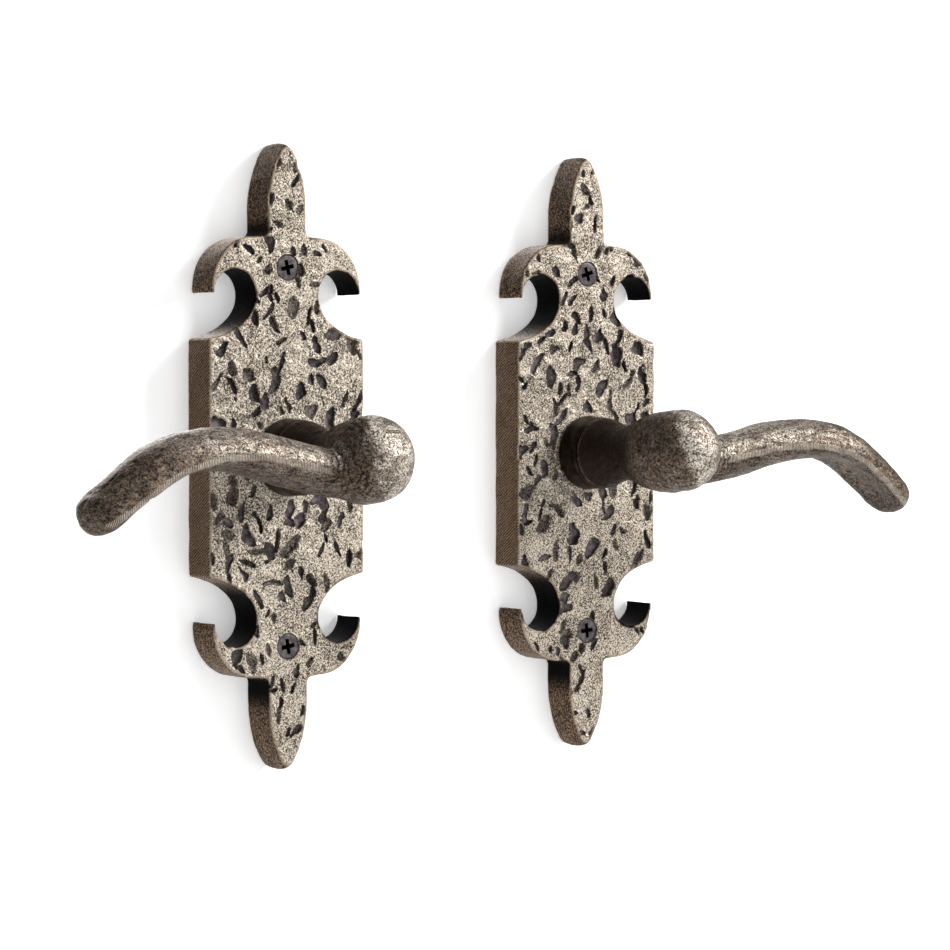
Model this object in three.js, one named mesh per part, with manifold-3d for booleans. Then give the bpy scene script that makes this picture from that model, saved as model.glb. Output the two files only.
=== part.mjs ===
// A handed pair of lever door handles on cast fleur-de-lis backplates, for the two leaves of a
// double door. Each handle is a thick plate with a bearing bush, a cast lever on a square
// spindle, and a return spring, rotor and stop pins in a pocket closed from behind.
// Millimetres. X to the right, +Y into the door, +Z up. The origin is on the door face (the
// backs of both plates), midway between the two spindles.
import * as THREE from 'three';
import { mergeVertices } from 'three/addons/utils/BufferGeometryUtils.js';
import Module from 'manifold-3d';

const wasm = await Module();
wasm.setup();

// ---- driving dimensions ------------------------------------------------------------------

const SPINDLE_SPACING = 137.6;
const TOUCH_GAP = 0.3;

// backplate outline, measured from the spindle axis
const PLATE_HEIGHT = 228.6;
const PLATE_THICKNESS = 14.7;
const BODY_HALF_WIDTH = 33.5;
const BODY_HALF_HEIGHT = 43.1;
const LANCE_HALF_WIDTH = 8.4;
const LANCE_WIDEST_Z = 90;
const LANCE_TIP_RADIUS = 1.5;
const LANCE_FILLET = 2.2;
const SHOULDER_RISE = 0.3;
const ARM_TOP_Z = 79.9;
const ARM_CENTRE = { x: 14, z: 61 };
const ARM_OUTER_X = 32.1;
const ARM_TIP_Z = 59.2;
const NOTCH_CENTRE = { x: 22.3, z: 59.2 };
const NOTCH_RADIUS = 8.6;

// fixing screws, No. 10 countersunk
const SCREW_Z = 68.8;
const SCREW_HEAD_RADIUS = 4.65;
const SCREW_HEAD_DEPTH = 2.7;
const SCREW_SHANK_RADIUS = 2.4;
const SCREW_LENGTH = 38;
const SCREW_SINK = 0.35;

// spring pocket in the back of the plate
const COVER_SEAT_RADIUS = 30;
const COVER_SEAT_DEPTH = 2.6;
const POCKET_RADIUS = 24;
const POCKET_DEPTH = 11;
const PLATE_BORE_RADIUS = 11.5;

// bearing bush, with the round hub ring that shows on the front
const BUSH_BARREL_RADIUS = 11.2;
const BUSH_BORE_RADIUS = 9.06;
const HUB_BASE_RADIUS = 14.2;
const HUB_NOSE_RADIUS = 13.8;
const HUB_PROJECTION = 9.5;

// lever: journal, collar, waist, ball and blade; "out" is the distance in front of the plate
const JOURNAL_RADIUS = 9.0;
const JOURNAL_END_Y = -7.4;
const RING_GROOVE = { radius: 8.2, front: -9.9, back: -8.3 };
const COLLAR_BACK_OUT = 9.9;
const BALL_RADIUS = 15.6;
const BALL_CENTRE = { x: 1.0, out: 55, z: 0.8 };

// square spindle and its grub screw
const SPINDLE_WIDTH = 8;
const SPINDLE_SOCKET_WIDTH = 8.2;
const SPINDLE_FRONT_Y = -50;
const SPINDLE_BACK_Y = 42;
const GRUB_OUT = 14.5;
const GRUB_RADIUS = 2.9;
const GRUB_LENGTH = 8;

// spring hub, return spring, stop pins and cover
const ROTOR_HUB_RADIUS = 7.6;
const ROTOR_FLANGE_RADIUS = 17;
const ROTOR_FLANGE = { front: -4.7, back: -3.1 };
const ROTOR_SOCKET_WIDTH = 8.3;
const ROTOR_HUB = { front: -7.0, back: -0.8 };
const LUG_WIDTH = 7;
const LUG_REACH = 22.5;
const SPRING_RADIUS = 14.6;
const SPRING_WIRE_RADIUS = 0.8;
const SPRING_TURNS = 2.25;
const PIN_RADIUS = 1.75;
const PIN_CIRCLE_RADIUS = 19.5;
const PIN_ENDS = { front: -13.2, back: -2.9 };
const LEVER_TRAVEL_DEG = 45;
const COVER_THICKNESS = 2.2;
const COVER_SCREW_CIRCLE = 27;
const COVER_SCREW_HEAD_RADIUS = 2.6;
const COVER_SCREW_RADIUS = 1.2;
const COVER_SCREW_LENGTH = 9;

// the number of sides of a round part; parts that run on each other share the first
const ROUND_SIDES = 40;
const SCREW_SIDES = 20;
const SMALL_SIDES = 12;

// ---- materials ---------------------------------------------------------------------------

const metal = (color, roughness) => new THREE.MeshStandardMaterial({ color, roughness, metalness: 1 });
const CAST_PLATE = metal(0x9a8f80, 0.6);
const CAST_LEVER = metal(0x5c4f43, 0.5);
const DARK_BRONZE = metal(0x2e2620, 0.45);
const DARK_STEEL = metal(0x4a4448, 0.5);
const BRIGHT_STEEL = metal(0xa8a9ab, 0.35);
const SPRING_STEEL = metal(0x6b6f75, 0.3);

// ---- solids ------------------------------------------------------------------------------

function toSolid(geometry) {
  const bare = geometry.clone();
  bare.deleteAttribute('normal');
  bare.deleteAttribute('uv');
  const merged = mergeVertices(bare, 1e-4);
  return new wasm.Manifold(new wasm.Mesh({
    numProp: 3,
    vertProperties: new Float32Array(merged.attributes.position.array),
    triVerts: new Uint32Array(merged.index.array),
  }));
}

function toGeometry(solid) {
  const mesh = solid.getMesh();
  const geometry = new THREE.BufferGeometry();
  geometry.setAttribute('position', new THREE.BufferAttribute(new Float32Array(mesh.vertProperties), 3));
  geometry.setIndex(new THREE.BufferAttribute(new Uint32Array(mesh.triVerts), 1));
  geometry.computeVertexNormals();
  return geometry;
}

function join(...geometries) {
  return toGeometry(geometries.map(toSolid).reduce((whole, piece) => whole.add(piece)));
}

function cut(geometry, ...tools) {
  return toGeometry(tools.map(toSolid).reduce((left, tool) => left.subtract(tool), toSolid(geometry)));
}

// Reverses every triangle, for a geometry that a mirror has turned inside out.
function flipped(geometry) {
  const index = geometry.index.array;
  for (let i = 0; i < index.length; i += 3) {
    const first = index[i];
    index[i] = index[i + 2];
    index[i + 2] = first;
  }
  geometry.computeVertexNormals();
  return geometry;
}

function mirroredInX(geometry) {
  return flipped(toGeometry(toSolid(geometry)).scale(-1, 1, 1));
}

// A solid of revolution about the Y axis through (0, 0, 0). The profile is a list of [radius, y].
function turned(profile, sides = ROUND_SIDES) {
  const points = profile.map(([radius, y]) => new THREE.Vector2(radius, y));
  const geometry = mergeVertices(new THREE.LatheGeometry(points, sides));
  return geometry;
}

// A round bar or hole along Y, from the front (lower y) to the back.
function bar(radius, front, back, x = 0, z = 0, sides = ROUND_SIDES) {
  return turned([[0, front], [radius, front], [radius, back], [0, back]], sides).translate(x, 0, z);
}

// A cone or cylinder along Y with its own radius at each end.
function taper(frontRadius, backRadius, front, back, x, z, sides) {
  const profile = [[0, front], [frontRadius, front], [backRadius, back], [0, back]];
  return turned(profile, sides).translate(x, 0, z);
}

function ringAlongY(inner, outer, front, back, sides = ROUND_SIDES) {
  return turned([[inner, front], [outer, front], [outer, back], [inner, back], [inner, front]], sides);
}

function block(x0, x1, y0, y1, z0, z1) {
  const geometry = new THREE.BoxGeometry(x1 - x0, y1 - y0, z1 - z0);
  return geometry.translate((x0 + x1) / 2, (y0 + y1) / 2, (z0 + z1) / 2);
}

function squareBar(width, front, back) {
  return block(-width / 2, width / 2, front, back, -width / 2, width / 2);
}

// Extrudes an outline drawn in X and Z along Y, from the front to the back.
function slab(outline, front, back) {
  const shape = new THREE.Shape(outline);
  const geometry = new THREE.ExtrudeGeometry(shape, { depth: back - front, bevelEnabled: false });
  return geometry.rotateX(Math.PI / 2).translate(0, back, 0);
}

// Two crossed slots, the recess of a cross-head screw, opening towards the front.
function crossRecess(reach, width, front, back) {
  const wide = block(-reach, reach, front, back, -width / 2, width / 2);
  const tall = block(-width / 2, width / 2, front, back, -reach, reach);
  return join(wide, tall);
}

// ---- backplate ---------------------------------------------------------------------------

function arcPoints(centre, radiusX, radiusZ, fromDeg, toDeg, steps) {
  const points = [];
  for (let i = 0; i <= steps; i += 1) {
    const angle = THREE.MathUtils.degToRad(fromDeg + ((toDeg - fromDeg) * i) / steps);
    points.push(new THREE.Vector2(
      centre.x + radiusX * Math.cos(angle),
      centre.z + radiusZ * Math.sin(angle),
    ));
  }
  return points;
}

// The upper right quarter of the outline, from the lance's tip to the body's right side.
function quarterOutline() {
  const ogiveRise = PLATE_HEIGHT / 2 - LANCE_TIP_RADIUS - LANCE_WIDEST_Z;
  const run = LANCE_HALF_WIDTH - LANCE_TIP_RADIUS;
  const ogiveRadius = ((ogiveRise * ogiveRise) / run + LANCE_HALF_WIDTH + LANCE_TIP_RADIUS) / 2;
  const ogiveCentre = { x: LANCE_HALF_WIDTH - ogiveRadius, z: LANCE_WIDEST_Z };
  const tangentDeg = THREE.MathUtils.radToDeg(Math.atan2(ogiveRise, -ogiveCentre.x));
  const tipCentre = { x: 0, z: LANCE_WIDEST_Z + ogiveRise };
  const filletCentre = {
    x: LANCE_HALF_WIDTH + LANCE_FILLET,
    z: ARM_TOP_Z + LANCE_FILLET + SHOULDER_RISE,
  };
  const flare = new THREE.CubicBezierCurve(
    new THREE.Vector2(NOTCH_CENTRE.x - NOTCH_RADIUS, NOTCH_CENTRE.z),
    new THREE.Vector2(NOTCH_CENTRE.x - NOTCH_RADIUS, 52.0),
    new THREE.Vector2(19.5, 45.8),
    new THREE.Vector2(BODY_HALF_WIDTH - 0.8, BODY_HALF_HEIGHT + 0.1),
  );
  return [
    ...arcPoints(tipCentre, LANCE_TIP_RADIUS, LANCE_TIP_RADIUS, 90, tangentDeg, 2),
    ...arcPoints(ogiveCentre, ogiveRadius, ogiveRadius, tangentDeg, 0, 7).slice(1),
    ...arcPoints(filletCentre, LANCE_FILLET, LANCE_FILLET, 180, 270, 3),
    ...arcPoints(ARM_CENTRE, ARM_OUTER_X - ARM_CENTRE.x, ARM_TOP_Z - ARM_CENTRE.z, 90, 0, 9),
    new THREE.Vector2(ARM_OUTER_X - 0.4, ARM_TIP_Z),
    ...arcPoints(NOTCH_CENTRE, NOTCH_RADIUS, NOTCH_RADIUS, 0, 180, 14),
    ...flare.getPoints(7).slice(1),
    new THREE.Vector2(BODY_HALF_WIDTH, BODY_HALF_HEIGHT - 0.7),
  ];
}

// The whole outline, anticlockwise, from the upper right quarter and its mirror images.
function plateOutline() {
  const upperRight = quarterOutline();
  const mirror = (points, signX, signZ) => points.map((p) => new THREE.Vector2(p.x * signX, p.y * signZ));
  const upperLeft = mirror(upperRight.slice(1), -1, 1);
  const lowerLeft = mirror(upperRight, -1, -1).reverse();
  const lowerRight = mirror(upperRight.slice(1), 1, -1);
  const clockwise = [
    ...upperLeft.reverse(),
    ...upperRight,
    ...lowerRight.reverse(),
    ...lowerLeft.reverse().slice(1),
  ];
  return clockwise.reverse();
}

function pinAngles() {
  const pinToLug = LUG_WIDTH / 2 + PIN_RADIUS + TOUCH_GAP;
  const lead = THREE.MathUtils.radToDeg(Math.asin(pinToLug / PIN_CIRCLE_RADIUS));
  const lugRest = 90 + LEVER_TRAVEL_DEG / 2;
  return { lugRest, rest: lugRest + lead, turned: lugRest - LEVER_TRAVEL_DEG - lead };
}

function onCircle(radius, deg) {
  const angle = THREE.MathUtils.degToRad(deg);
  return { x: radius * Math.cos(angle), z: radius * Math.sin(angle) };
}

const COVER_SCREW_ANGLES = [45, 135, 225, 315];

function backplate() {
  const front = -PLATE_THICKNESS;
  const tools = [
    bar(COVER_SEAT_RADIUS, -COVER_SEAT_DEPTH, 1),
    bar(POCKET_RADIUS, -POCKET_DEPTH, 1),
    bar(PLATE_BORE_RADIUS, front - 1, 1),
  ];
  for (const z of [SCREW_Z, -SCREW_Z]) {
    const headClearance = SCREW_HEAD_RADIUS + TOUCH_GAP;
    const shankClearance = SCREW_SHANK_RADIUS + TOUCH_GAP;
    const coneBack = front + SCREW_SINK + SCREW_HEAD_DEPTH;
    tools.push(bar(headClearance, front - 1, front + SCREW_SINK, 0, z, SCREW_SIDES));
    const coneFront = front + SCREW_SINK - 0.01;
    tools.push(taper(headClearance, shankClearance, coneFront, coneBack, 0, z, SCREW_SIDES));
    tools.push(bar(shankClearance, front + 1, 1, 0, z, SCREW_SIDES));
  }
  for (const deg of COVER_SCREW_ANGLES) {
    const { x, z } = onCircle(COVER_SCREW_CIRCLE, deg);
    tools.push(bar(COVER_SCREW_RADIUS + 0.15, -COVER_SCREW_LENGTH - 0.5, 0, x, z, SMALL_SIDES));
  }
  const { rest, turned: far } = pinAngles();
  for (const deg of [rest, far]) {
    const { x, z } = onCircle(PIN_CIRCLE_RADIUS, deg);
    tools.push(bar(PIN_RADIUS + 0.1, PIN_ENDS.front - TOUCH_GAP, -POCKET_DEPTH + 1, x, z, SMALL_SIDES));
  }
  return cut(slab(plateOutline(), front, 0), ...tools);
}

// ---- bearing bush ------------------------------------------------------------------------

function bearingBush() {
  const flangeBack = -PLATE_THICKNESS - TOUCH_GAP;
  const nose = -PLATE_THICKNESS - HUB_PROJECTION;
  return turned([
    [BUSH_BORE_RADIUS, nose],
    [HUB_NOSE_RADIUS - 0.5, nose],
    [HUB_NOSE_RADIUS, nose + 0.5],
    [HUB_BASE_RADIUS, flangeBack],
    [BUSH_BARREL_RADIUS, flangeBack],
    [BUSH_BARREL_RADIUS, -POCKET_DEPTH],
    [BUSH_BORE_RADIUS, -POCKET_DEPTH],
    [BUSH_BORE_RADIUS, nose],
  ]);
}

// ---- lever -------------------------------------------------------------------------------

// The blade's stations, from inside the ball to the tip: the middle of the section at x, out
// in front of the plate and z, its half depth (front to back), its half thickness, and how far
// its front and back edges lie below its middle.
const BLADE_STATIONS = [
  { x: 3, out: 52.0, z: -4.6, halfDepth: 8.0, halfThick: 8.2, edgeDrop: 0 },
  { x: 16, out: 51.6, z: -3.7, halfDepth: 8.7, halfThick: 8.6, edgeDrop: 0 },
  { x: 32, out: 51.2, z: -0.6, halfDepth: 9.6, halfThick: 8.7, edgeDrop: 0.2 },
  { x: 51, out: 52.0, z: 3.4, halfDepth: 11.0, halfThick: 8.3, edgeDrop: 1.7 },
  { x: 69, out: 52.8, z: 4.4, halfDepth: 12.2, halfThick: 7.6, edgeDrop: 3.4 },
  { x: 87, out: 53.0, z: -0.6, halfDepth: 12.4, halfThick: 7.4, edgeDrop: 3.6 },
  { x: 103, out: 52.6, z: -11.8, halfDepth: 11.7, halfThick: 7.2, edgeDrop: 2.9 },
  { x: 114, out: 52.2, z: -21.8, halfDepth: 9.6, halfThick: 7.6, edgeDrop: 1.0 },
];
const BLADE_RINGS = 24;
const BLADE_SIDES = 24;
const BLADE_TIP_ROUND = 8.5;
const BLADE_SQUARENESS = 2.2;
// the underside is hollowed between these x, deepest on the middle of the section
const HOLLOW_START_X = 62;
const HOLLOW_FULL_X = 88;
const HOLLOW_FADE_X = 102;
const HOLLOW_END_X = 114;
const HOLLOW_SHARE = 0.75;
const HOLLOW_WIDTH = 0.66;

function hollowAt(x, c) {
  const along = THREE.MathUtils.smoothstep(x, HOLLOW_START_X, HOLLOW_FULL_X)
    * (1 - THREE.MathUtils.smoothstep(x, HOLLOW_FADE_X, HOLLOW_END_X));
  return 1 - HOLLOW_SHARE * along * Math.exp(-((c / HOLLOW_WIDTH) ** 2));
}

// One ring of the blade's skin: a lens whose upper half is the fuller one where the edges drop.
// `round` shrinks it towards the tip.
function bladeRing(centre, tangent, section, round) {
  const upX = -tangent.z;
  const upZ = tangent.x;
  const power = 2 / BLADE_SQUARENESS;
  const ring = [];
  for (let i = 0; i < BLADE_SIDES; i += 1) {
    const angle = (2 * Math.PI * i) / BLADE_SIDES;
    const c = Math.sign(Math.cos(angle)) * Math.abs(Math.cos(angle)) ** power;
    const s = Math.sign(Math.sin(angle)) * Math.abs(Math.sin(angle)) ** power;
    const reach = s > 0
      ? section.halfThick + section.edgeDrop
      : (section.halfThick - section.edgeDrop) * hollowAt(centre.x, c);
    const rise = round ** 0.8 * (reach * s - section.edgeDrop);
    ring.push(new THREE.Vector3(
      centre.x + upX * rise,
      centre.y - section.halfDepth * round * c,
      centre.z + upZ * rise,
    ));
  }
  return ring;
}

// A closed skin over rings of equal length, with a fan over each end.
function loft(rings) {
  const sides = rings[0].length;
  const points = rings.flat();
  const ends = [rings[0], rings[rings.length - 1]].map((ring) => {
    const middle = new THREE.Vector3();
    ring.forEach((p) => middle.addScaledVector(p, 1 / sides));
    return middle;
  });
  const index = [];
  const firstMiddle = points.length;
  const lastMiddle = points.length + 1;
  const lastRing = (rings.length - 1) * sides;
  for (let i = 0; i < sides; i += 1) {
    const next = (i + 1) % sides;
    for (let r = 0; r + 1 < rings.length; r += 1) {
      const a = r * sides + i;
      const b = r * sides + next;
      index.push(a, a + sides, b, b, a + sides, b + sides);
    }
    index.push(firstMiddle, i, next);
    index.push(lastMiddle, lastRing + next, lastRing + i);
  }
  const geometry = new THREE.BufferGeometry();
  geometry.setFromPoints([...points, ...ends]);
  geometry.setIndex(index);
  return geometry;
}

function blade() {
  const path = new THREE.CatmullRomCurve3(BLADE_STATIONS.map(
    (s) => new THREE.Vector3(s.x, -PLATE_THICKNESS - s.out, s.z),
  ));
  const size = new THREE.CatmullRomCurve3(BLADE_STATIONS.map(
    (s) => new THREE.Vector3(s.halfDepth, s.halfThick, s.edgeDrop),
  ), false, 'catmullrom', 0.5);
  const length = path.getLength();
  const rings = [];
  for (let i = 0; i < BLADE_RINGS; i += 1) {
    const t = Math.sin((Math.PI / 2) * (i / (BLADE_RINGS - 1))) * 0.55 + (i / (BLADE_RINGS - 1)) * 0.45;
    const u = Math.min(t, 0.9985);
    const left = (1 - path.getUtoTmapping(u)) * length;
    const beyond = Math.max(0, 1 - left / BLADE_TIP_ROUND);
    const round = Math.sqrt(1 - beyond * beyond);
    const at = size.getPoint(path.getUtoTmapping(u));
    const section = { halfDepth: at.x, halfThick: at.y, edgeDrop: at.z };
    rings.push(bladeRing(path.getPointAt(u), path.getTangentAt(u), section, round));
  }
  return loft(rings);
}

// The neck from the journal to inside the ball, [radius, distance out] after the journal.
const NECK_PROFILE = [
  [12.9, 9.9], [13.5, 10.5], [13.2, 13], [11.8, 17.8], [10.7, 21.7], [10.4, 25.5],
  [10.8, 30], [11.6, 33], [12.7, 36], [13.8, 39], [14.6, 42.2], [15.2, 46.3], [15.4, 50],
];

function neck() {
  const profile = [
    [0, JOURNAL_END_Y],
    [JOURNAL_RADIUS, JOURNAL_END_Y],
    [JOURNAL_RADIUS, RING_GROOVE.back],
    [RING_GROOVE.radius, RING_GROOVE.back],
    [RING_GROOVE.radius, RING_GROOVE.front],
    [JOURNAL_RADIUS, RING_GROOVE.front],
    [JOURNAL_RADIUS, -PLATE_THICKNESS - COLLAR_BACK_OUT],
    ...NECK_PROFILE.map(([radius, out]) => [radius, -PLATE_THICKNESS - out]),
    [0, -PLATE_THICKNESS - BALL_CENTRE.out],
  ];
  return turned(profile.reverse());
}

function ball() {
  const geometry = new THREE.SphereGeometry(BALL_RADIUS, 24, 14);
  geometry.rotateX(Math.PI / 2);
  return geometry.translate(BALL_CENTRE.x, -PLATE_THICKNESS - BALL_CENTRE.out, BALL_CENTRE.z);
}

// A bar along Z, for the grub screw and its hole in the underside of the neck.
function uprightBar(radius, bottom, top, y, sides) {
  const geometry = new THREE.CylinderGeometry(radius, radius, top - bottom, sides);
  return geometry.rotateX(Math.PI / 2).translate(0, y, (top + bottom) / 2);
}

const GRUB_Y = -PLATE_THICKNESS - GRUB_OUT;
const GRUB_TOP_Z = -SPINDLE_WIDTH / 2 - TOUCH_GAP;

function lever() {
  const socket = squareBar(SPINDLE_SOCKET_WIDTH, SPINDLE_FRONT_Y - TOUCH_GAP, 0);
  const grubHole = uprightBar(GRUB_RADIUS + 0.2, -20, 0, GRUB_Y, SCREW_SIDES);
  return cut(join(neck(), ball(), blade()), socket, grubHole);
}

function grubScrew() {
  const body = uprightBar(GRUB_RADIUS, GRUB_TOP_Z - GRUB_LENGTH, GRUB_TOP_Z, GRUB_Y, SCREW_SIDES);
  const hexSocket = uprightBar(1.6, GRUB_TOP_Z - GRUB_LENGTH - 1, GRUB_TOP_Z - GRUB_LENGTH + 3, GRUB_Y, 6);
  return cut(body, hexSocket);
}

// ---- parts on the journal and in the pocket ----------------------------------------------

const WASHER = { inner: 9.3, outer: 13, front: -10.7, back: -10.1 };
const RETAINING_RING = { inner: 8.4, outer: 11.2, front: -9.7, back: -8.6, openingDeg: 50 };

// A snap ring with its opening towards the bottom.
function retainingRing() {
  const { inner, outer, front, back, openingDeg } = RETAINING_RING;
  const start = -90 + openingDeg / 2;
  const end = 270 - openingDeg / 2;
  const centre = { x: 0, z: 0 };
  const outline = [
    ...arcPoints(centre, outer, outer, start, end, 20),
    ...arcPoints(centre, inner, inner, end, start, 20),
  ];
  return slab(outline, front, back);
}

function springHoleInRotor() {
  return onCircle(SPRING_RADIUS, pinAngles().lugRest - 140);
}

function springHub() {
  const hub = bar(ROTOR_HUB_RADIUS, ROTOR_HUB.front, ROTOR_HUB.back);
  const flange = bar(ROTOR_FLANGE_RADIUS, ROTOR_FLANGE.front, ROTOR_FLANGE.back);
  const lug = block(0, LUG_REACH, ROTOR_FLANGE.front, ROTOR_FLANGE.back, -LUG_WIDTH / 2, LUG_WIDTH / 2);
  lug.rotateY(-THREE.MathUtils.degToRad(pinAngles().lugRest));
  const hole = springHoleInRotor();
  return cut(
    join(hub, flange, lug),
    squareBar(ROTOR_SOCKET_WIDTH, -8, 0),
    bar(SPRING_WIRE_RADIUS + 0.9, -6, -2, hole.x, hole.z, SMALL_SIDES),
  );
}

// A torsion spring: one leg lies against the rest pin, the other turns back into the rotor.
function returnSpring() {
  const front = -9.7;
  const back = -5.9;
  const endDeg = pinAngles().lugRest - 140;
  const startDeg = endDeg + SPRING_TURNS * 360;
  const points = [];
  const leg = onCircle(POCKET_RADIUS - 1.6, startDeg);
  points.push(new THREE.Vector3(leg.x, front, leg.z));
  const steps = Math.round(SPRING_TURNS * 16);
  for (let i = 0; i <= steps; i += 1) {
    const t = i / steps;
    const { x, z } = onCircle(SPRING_RADIUS, startDeg + (endDeg - startDeg) * t);
    points.push(new THREE.Vector3(x, front + (back - front) * t, z));
  }
  const hole = springHoleInRotor();
  points.push(new THREE.Vector3(hole.x, -3.4, hole.z));
  const path = new THREE.CatmullRomCurve3(points, false, 'chordal');
  const wire = new THREE.Shape();
  wire.absarc(0, 0, SPRING_WIRE_RADIUS, 0, 2 * Math.PI);
  return new THREE.ExtrudeGeometry(wire, { steps: steps + 8, curveSegments: 4, extrudePath: path });
}

function stopPin(deg) {
  const { x, z } = onCircle(PIN_CIRCLE_RADIUS, deg);
  return bar(PIN_RADIUS, PIN_ENDS.front, PIN_ENDS.back, x, z, SMALL_SIDES);
}

const COVER_FRONT_Y = -COVER_SEAT_DEPTH + 0.1;

function coverPlate() {
  const back = COVER_FRONT_Y + COVER_THICKNESS;
  const tools = [bar(ROTOR_HUB_RADIUS + 0.5, -5, 1)];
  for (const deg of COVER_SCREW_ANGLES) {
    const { x, z } = onCircle(COVER_SCREW_CIRCLE, deg);
    const hole = COVER_SCREW_RADIUS + TOUCH_GAP;
    const mouth = COVER_SCREW_HEAD_RADIUS + 0.4;
    tools.push(taper(hole, mouth, back - 1.7, back + 0.01, x, z, SMALL_SIDES));
    tools.push(bar(hole, -5, back - 1, x, z, SMALL_SIDES));
  }
  return cut(bar(COVER_SEAT_RADIUS - TOUCH_GAP, COVER_FRONT_Y, back), ...tools);
}

// A small countersunk screw that points towards the front of the plate.
function coverScrew(deg) {
  const { x, z } = onCircle(COVER_SCREW_CIRCLE, deg);
  const headBack = COVER_FRONT_Y + COVER_THICKNESS - 0.1;
  const screw = turned([
    [0, -COVER_SCREW_LENGTH],
    [COVER_SCREW_RADIUS, -COVER_SCREW_LENGTH],
    [COVER_SCREW_RADIUS, headBack - 1.5],
    [COVER_SCREW_HEAD_RADIUS, headBack - 0.2], [COVER_SCREW_HEAD_RADIUS, headBack], [0, headBack],
  ], SMALL_SIDES);
  const recess = crossRecess(1.5, 0.7, headBack - 0.9, headBack + 1);
  return cut(screw, recess).translate(x, 0, z);
}

// A countersunk cross-head wood screw, driven into the door through the plate.
function mountingScrew(z, turnDeg) {
  const front = -PLATE_THICKNESS + SCREW_SINK;
  const screw = turned([
    [0, front], [SCREW_HEAD_RADIUS - 0.2, front], [SCREW_HEAD_RADIUS, front + 0.3],
    [SCREW_SHANK_RADIUS, front + SCREW_HEAD_DEPTH], [SCREW_SHANK_RADIUS, front + SCREW_LENGTH - 6],
    [0.3, front + SCREW_LENGTH], [0, front + SCREW_LENGTH],
  ], SCREW_SIDES);
  const recess = crossRecess(2.7, 1.15, front - 1, front + 1.6);
  recess.rotateY(THREE.MathUtils.degToRad(turnDeg));
  return cut(screw, recess).translate(0, 0, z);
}

// ---- assembly ----------------------------------------------------------------------------

const object = new THREE.Group();

function addPiece(group, name, geometry, material) {
  const mesh = new THREE.Mesh(geometry, material);
  mesh.name = name;
  group.add(mesh);
}

// One handle, drawn for the right; the left one is its mirror image.
function addHandle(side, sign, screwTurns) {
  const group = new THREE.Group();
  group.position.x = (sign * SPINDLE_SPACING) / 2;
  const handed = (geometry) => (sign < 0 ? mirroredInX(geometry) : toGeometry(toSolid(geometry)));
  const add = (name, geometry, material) => addPiece(group, `${side}_${name}`, handed(geometry), material);
  const pins = pinAngles();
  add('backplate', backplate(), CAST_PLATE);
  add('bearing_bush', bearingBush(), DARK_BRONZE);
  add('lever', lever(), CAST_LEVER);
  add('spindle', squareBar(SPINDLE_WIDTH, SPINDLE_FRONT_Y, SPINDLE_BACK_Y), BRIGHT_STEEL);
  add('grub_screw', grubScrew(), DARK_STEEL);
  add('thrust_washer', ringAlongY(WASHER.inner, WASHER.outer, WASHER.front, WASHER.back), BRIGHT_STEEL);
  add('retaining_ring', retainingRing(), SPRING_STEEL);
  add('spring_hub', springHub(), BRIGHT_STEEL);
  add('return_spring', returnSpring(), SPRING_STEEL);
  add('stop_pin_rest', stopPin(pins.rest), BRIGHT_STEEL);
  add('stop_pin_turned', stopPin(pins.turned), BRIGHT_STEEL);
  add('cover_plate', coverPlate(), BRIGHT_STEEL);
  COVER_SCREW_ANGLES.forEach((deg, i) => add(`cover_screw_${i + 1}`, coverScrew(deg), DARK_STEEL));
  add('mounting_screw_top', mountingScrew(SCREW_Z, screwTurns[0]), DARK_STEEL);
  add('mounting_screw_bottom', mountingScrew(-SCREW_Z, screwTurns[1]), DARK_STEEL);
  object.add(group);
}

addHandle('left', -1, [20, -25]);
addHandle('right', 1, [30, 10]);

export default object;
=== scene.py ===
"""Looks for the handed pair of lever handles: dented cast plates, patinated levers, turned and
machined fittings. Shapes are worked out in millimetres and built in metres, in the CAD frame."""
import itertools
import math

import bpy
import numpy as np
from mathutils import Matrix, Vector
from mathutils.geometry import delaunay_2d_cdt


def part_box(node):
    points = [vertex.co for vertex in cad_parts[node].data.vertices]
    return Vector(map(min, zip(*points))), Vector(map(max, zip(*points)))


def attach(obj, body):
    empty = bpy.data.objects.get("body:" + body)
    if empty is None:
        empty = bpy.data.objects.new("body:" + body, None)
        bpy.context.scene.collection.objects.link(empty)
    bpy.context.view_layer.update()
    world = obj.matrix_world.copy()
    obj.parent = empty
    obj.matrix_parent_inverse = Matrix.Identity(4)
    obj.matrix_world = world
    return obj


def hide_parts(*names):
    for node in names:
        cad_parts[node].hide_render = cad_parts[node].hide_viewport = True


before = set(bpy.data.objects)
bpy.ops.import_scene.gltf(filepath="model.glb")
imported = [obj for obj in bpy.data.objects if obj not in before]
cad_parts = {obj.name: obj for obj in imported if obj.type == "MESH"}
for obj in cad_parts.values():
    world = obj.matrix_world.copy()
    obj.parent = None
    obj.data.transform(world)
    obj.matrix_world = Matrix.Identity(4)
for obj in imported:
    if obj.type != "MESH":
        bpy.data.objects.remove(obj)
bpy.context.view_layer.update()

MM = 0.001
SIDES = {"left": -1.0, "right": 1.0}
SQUARE = [(-1, -1), (1, -1), (1, 1), (-1, 1)]

# ---- what the frame says, in millimetres ---------------------------------------------------


def node_box(node):
    low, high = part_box(node)
    return np.array(low) / MM, np.array(high) / MM


plate_low, plate_high = node_box("right_backplate")
HALF_WIDTH = (plate_high[0] - plate_low[0]) / 2
HALF_HEIGHT = (plate_high[2] - plate_low[2]) / 2
THICKNESS = -plate_low[1]
SPINDLE_X = (plate_high[0] + plate_low[0]) / 2
screw_low, screw_high = node_box("right_mounting_screw_top")
SCREW_Z = (screw_high[2] + screw_low[2]) / 2

# ---- numbers in several dimensions ----------------------------------------------------------


def smooth(x):
    """0 below 0, 1 above 1, and a smooth step between."""
    x = np.clip(x, 0.0, 1.0)
    return x * x * (3 - 2 * x)


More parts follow.
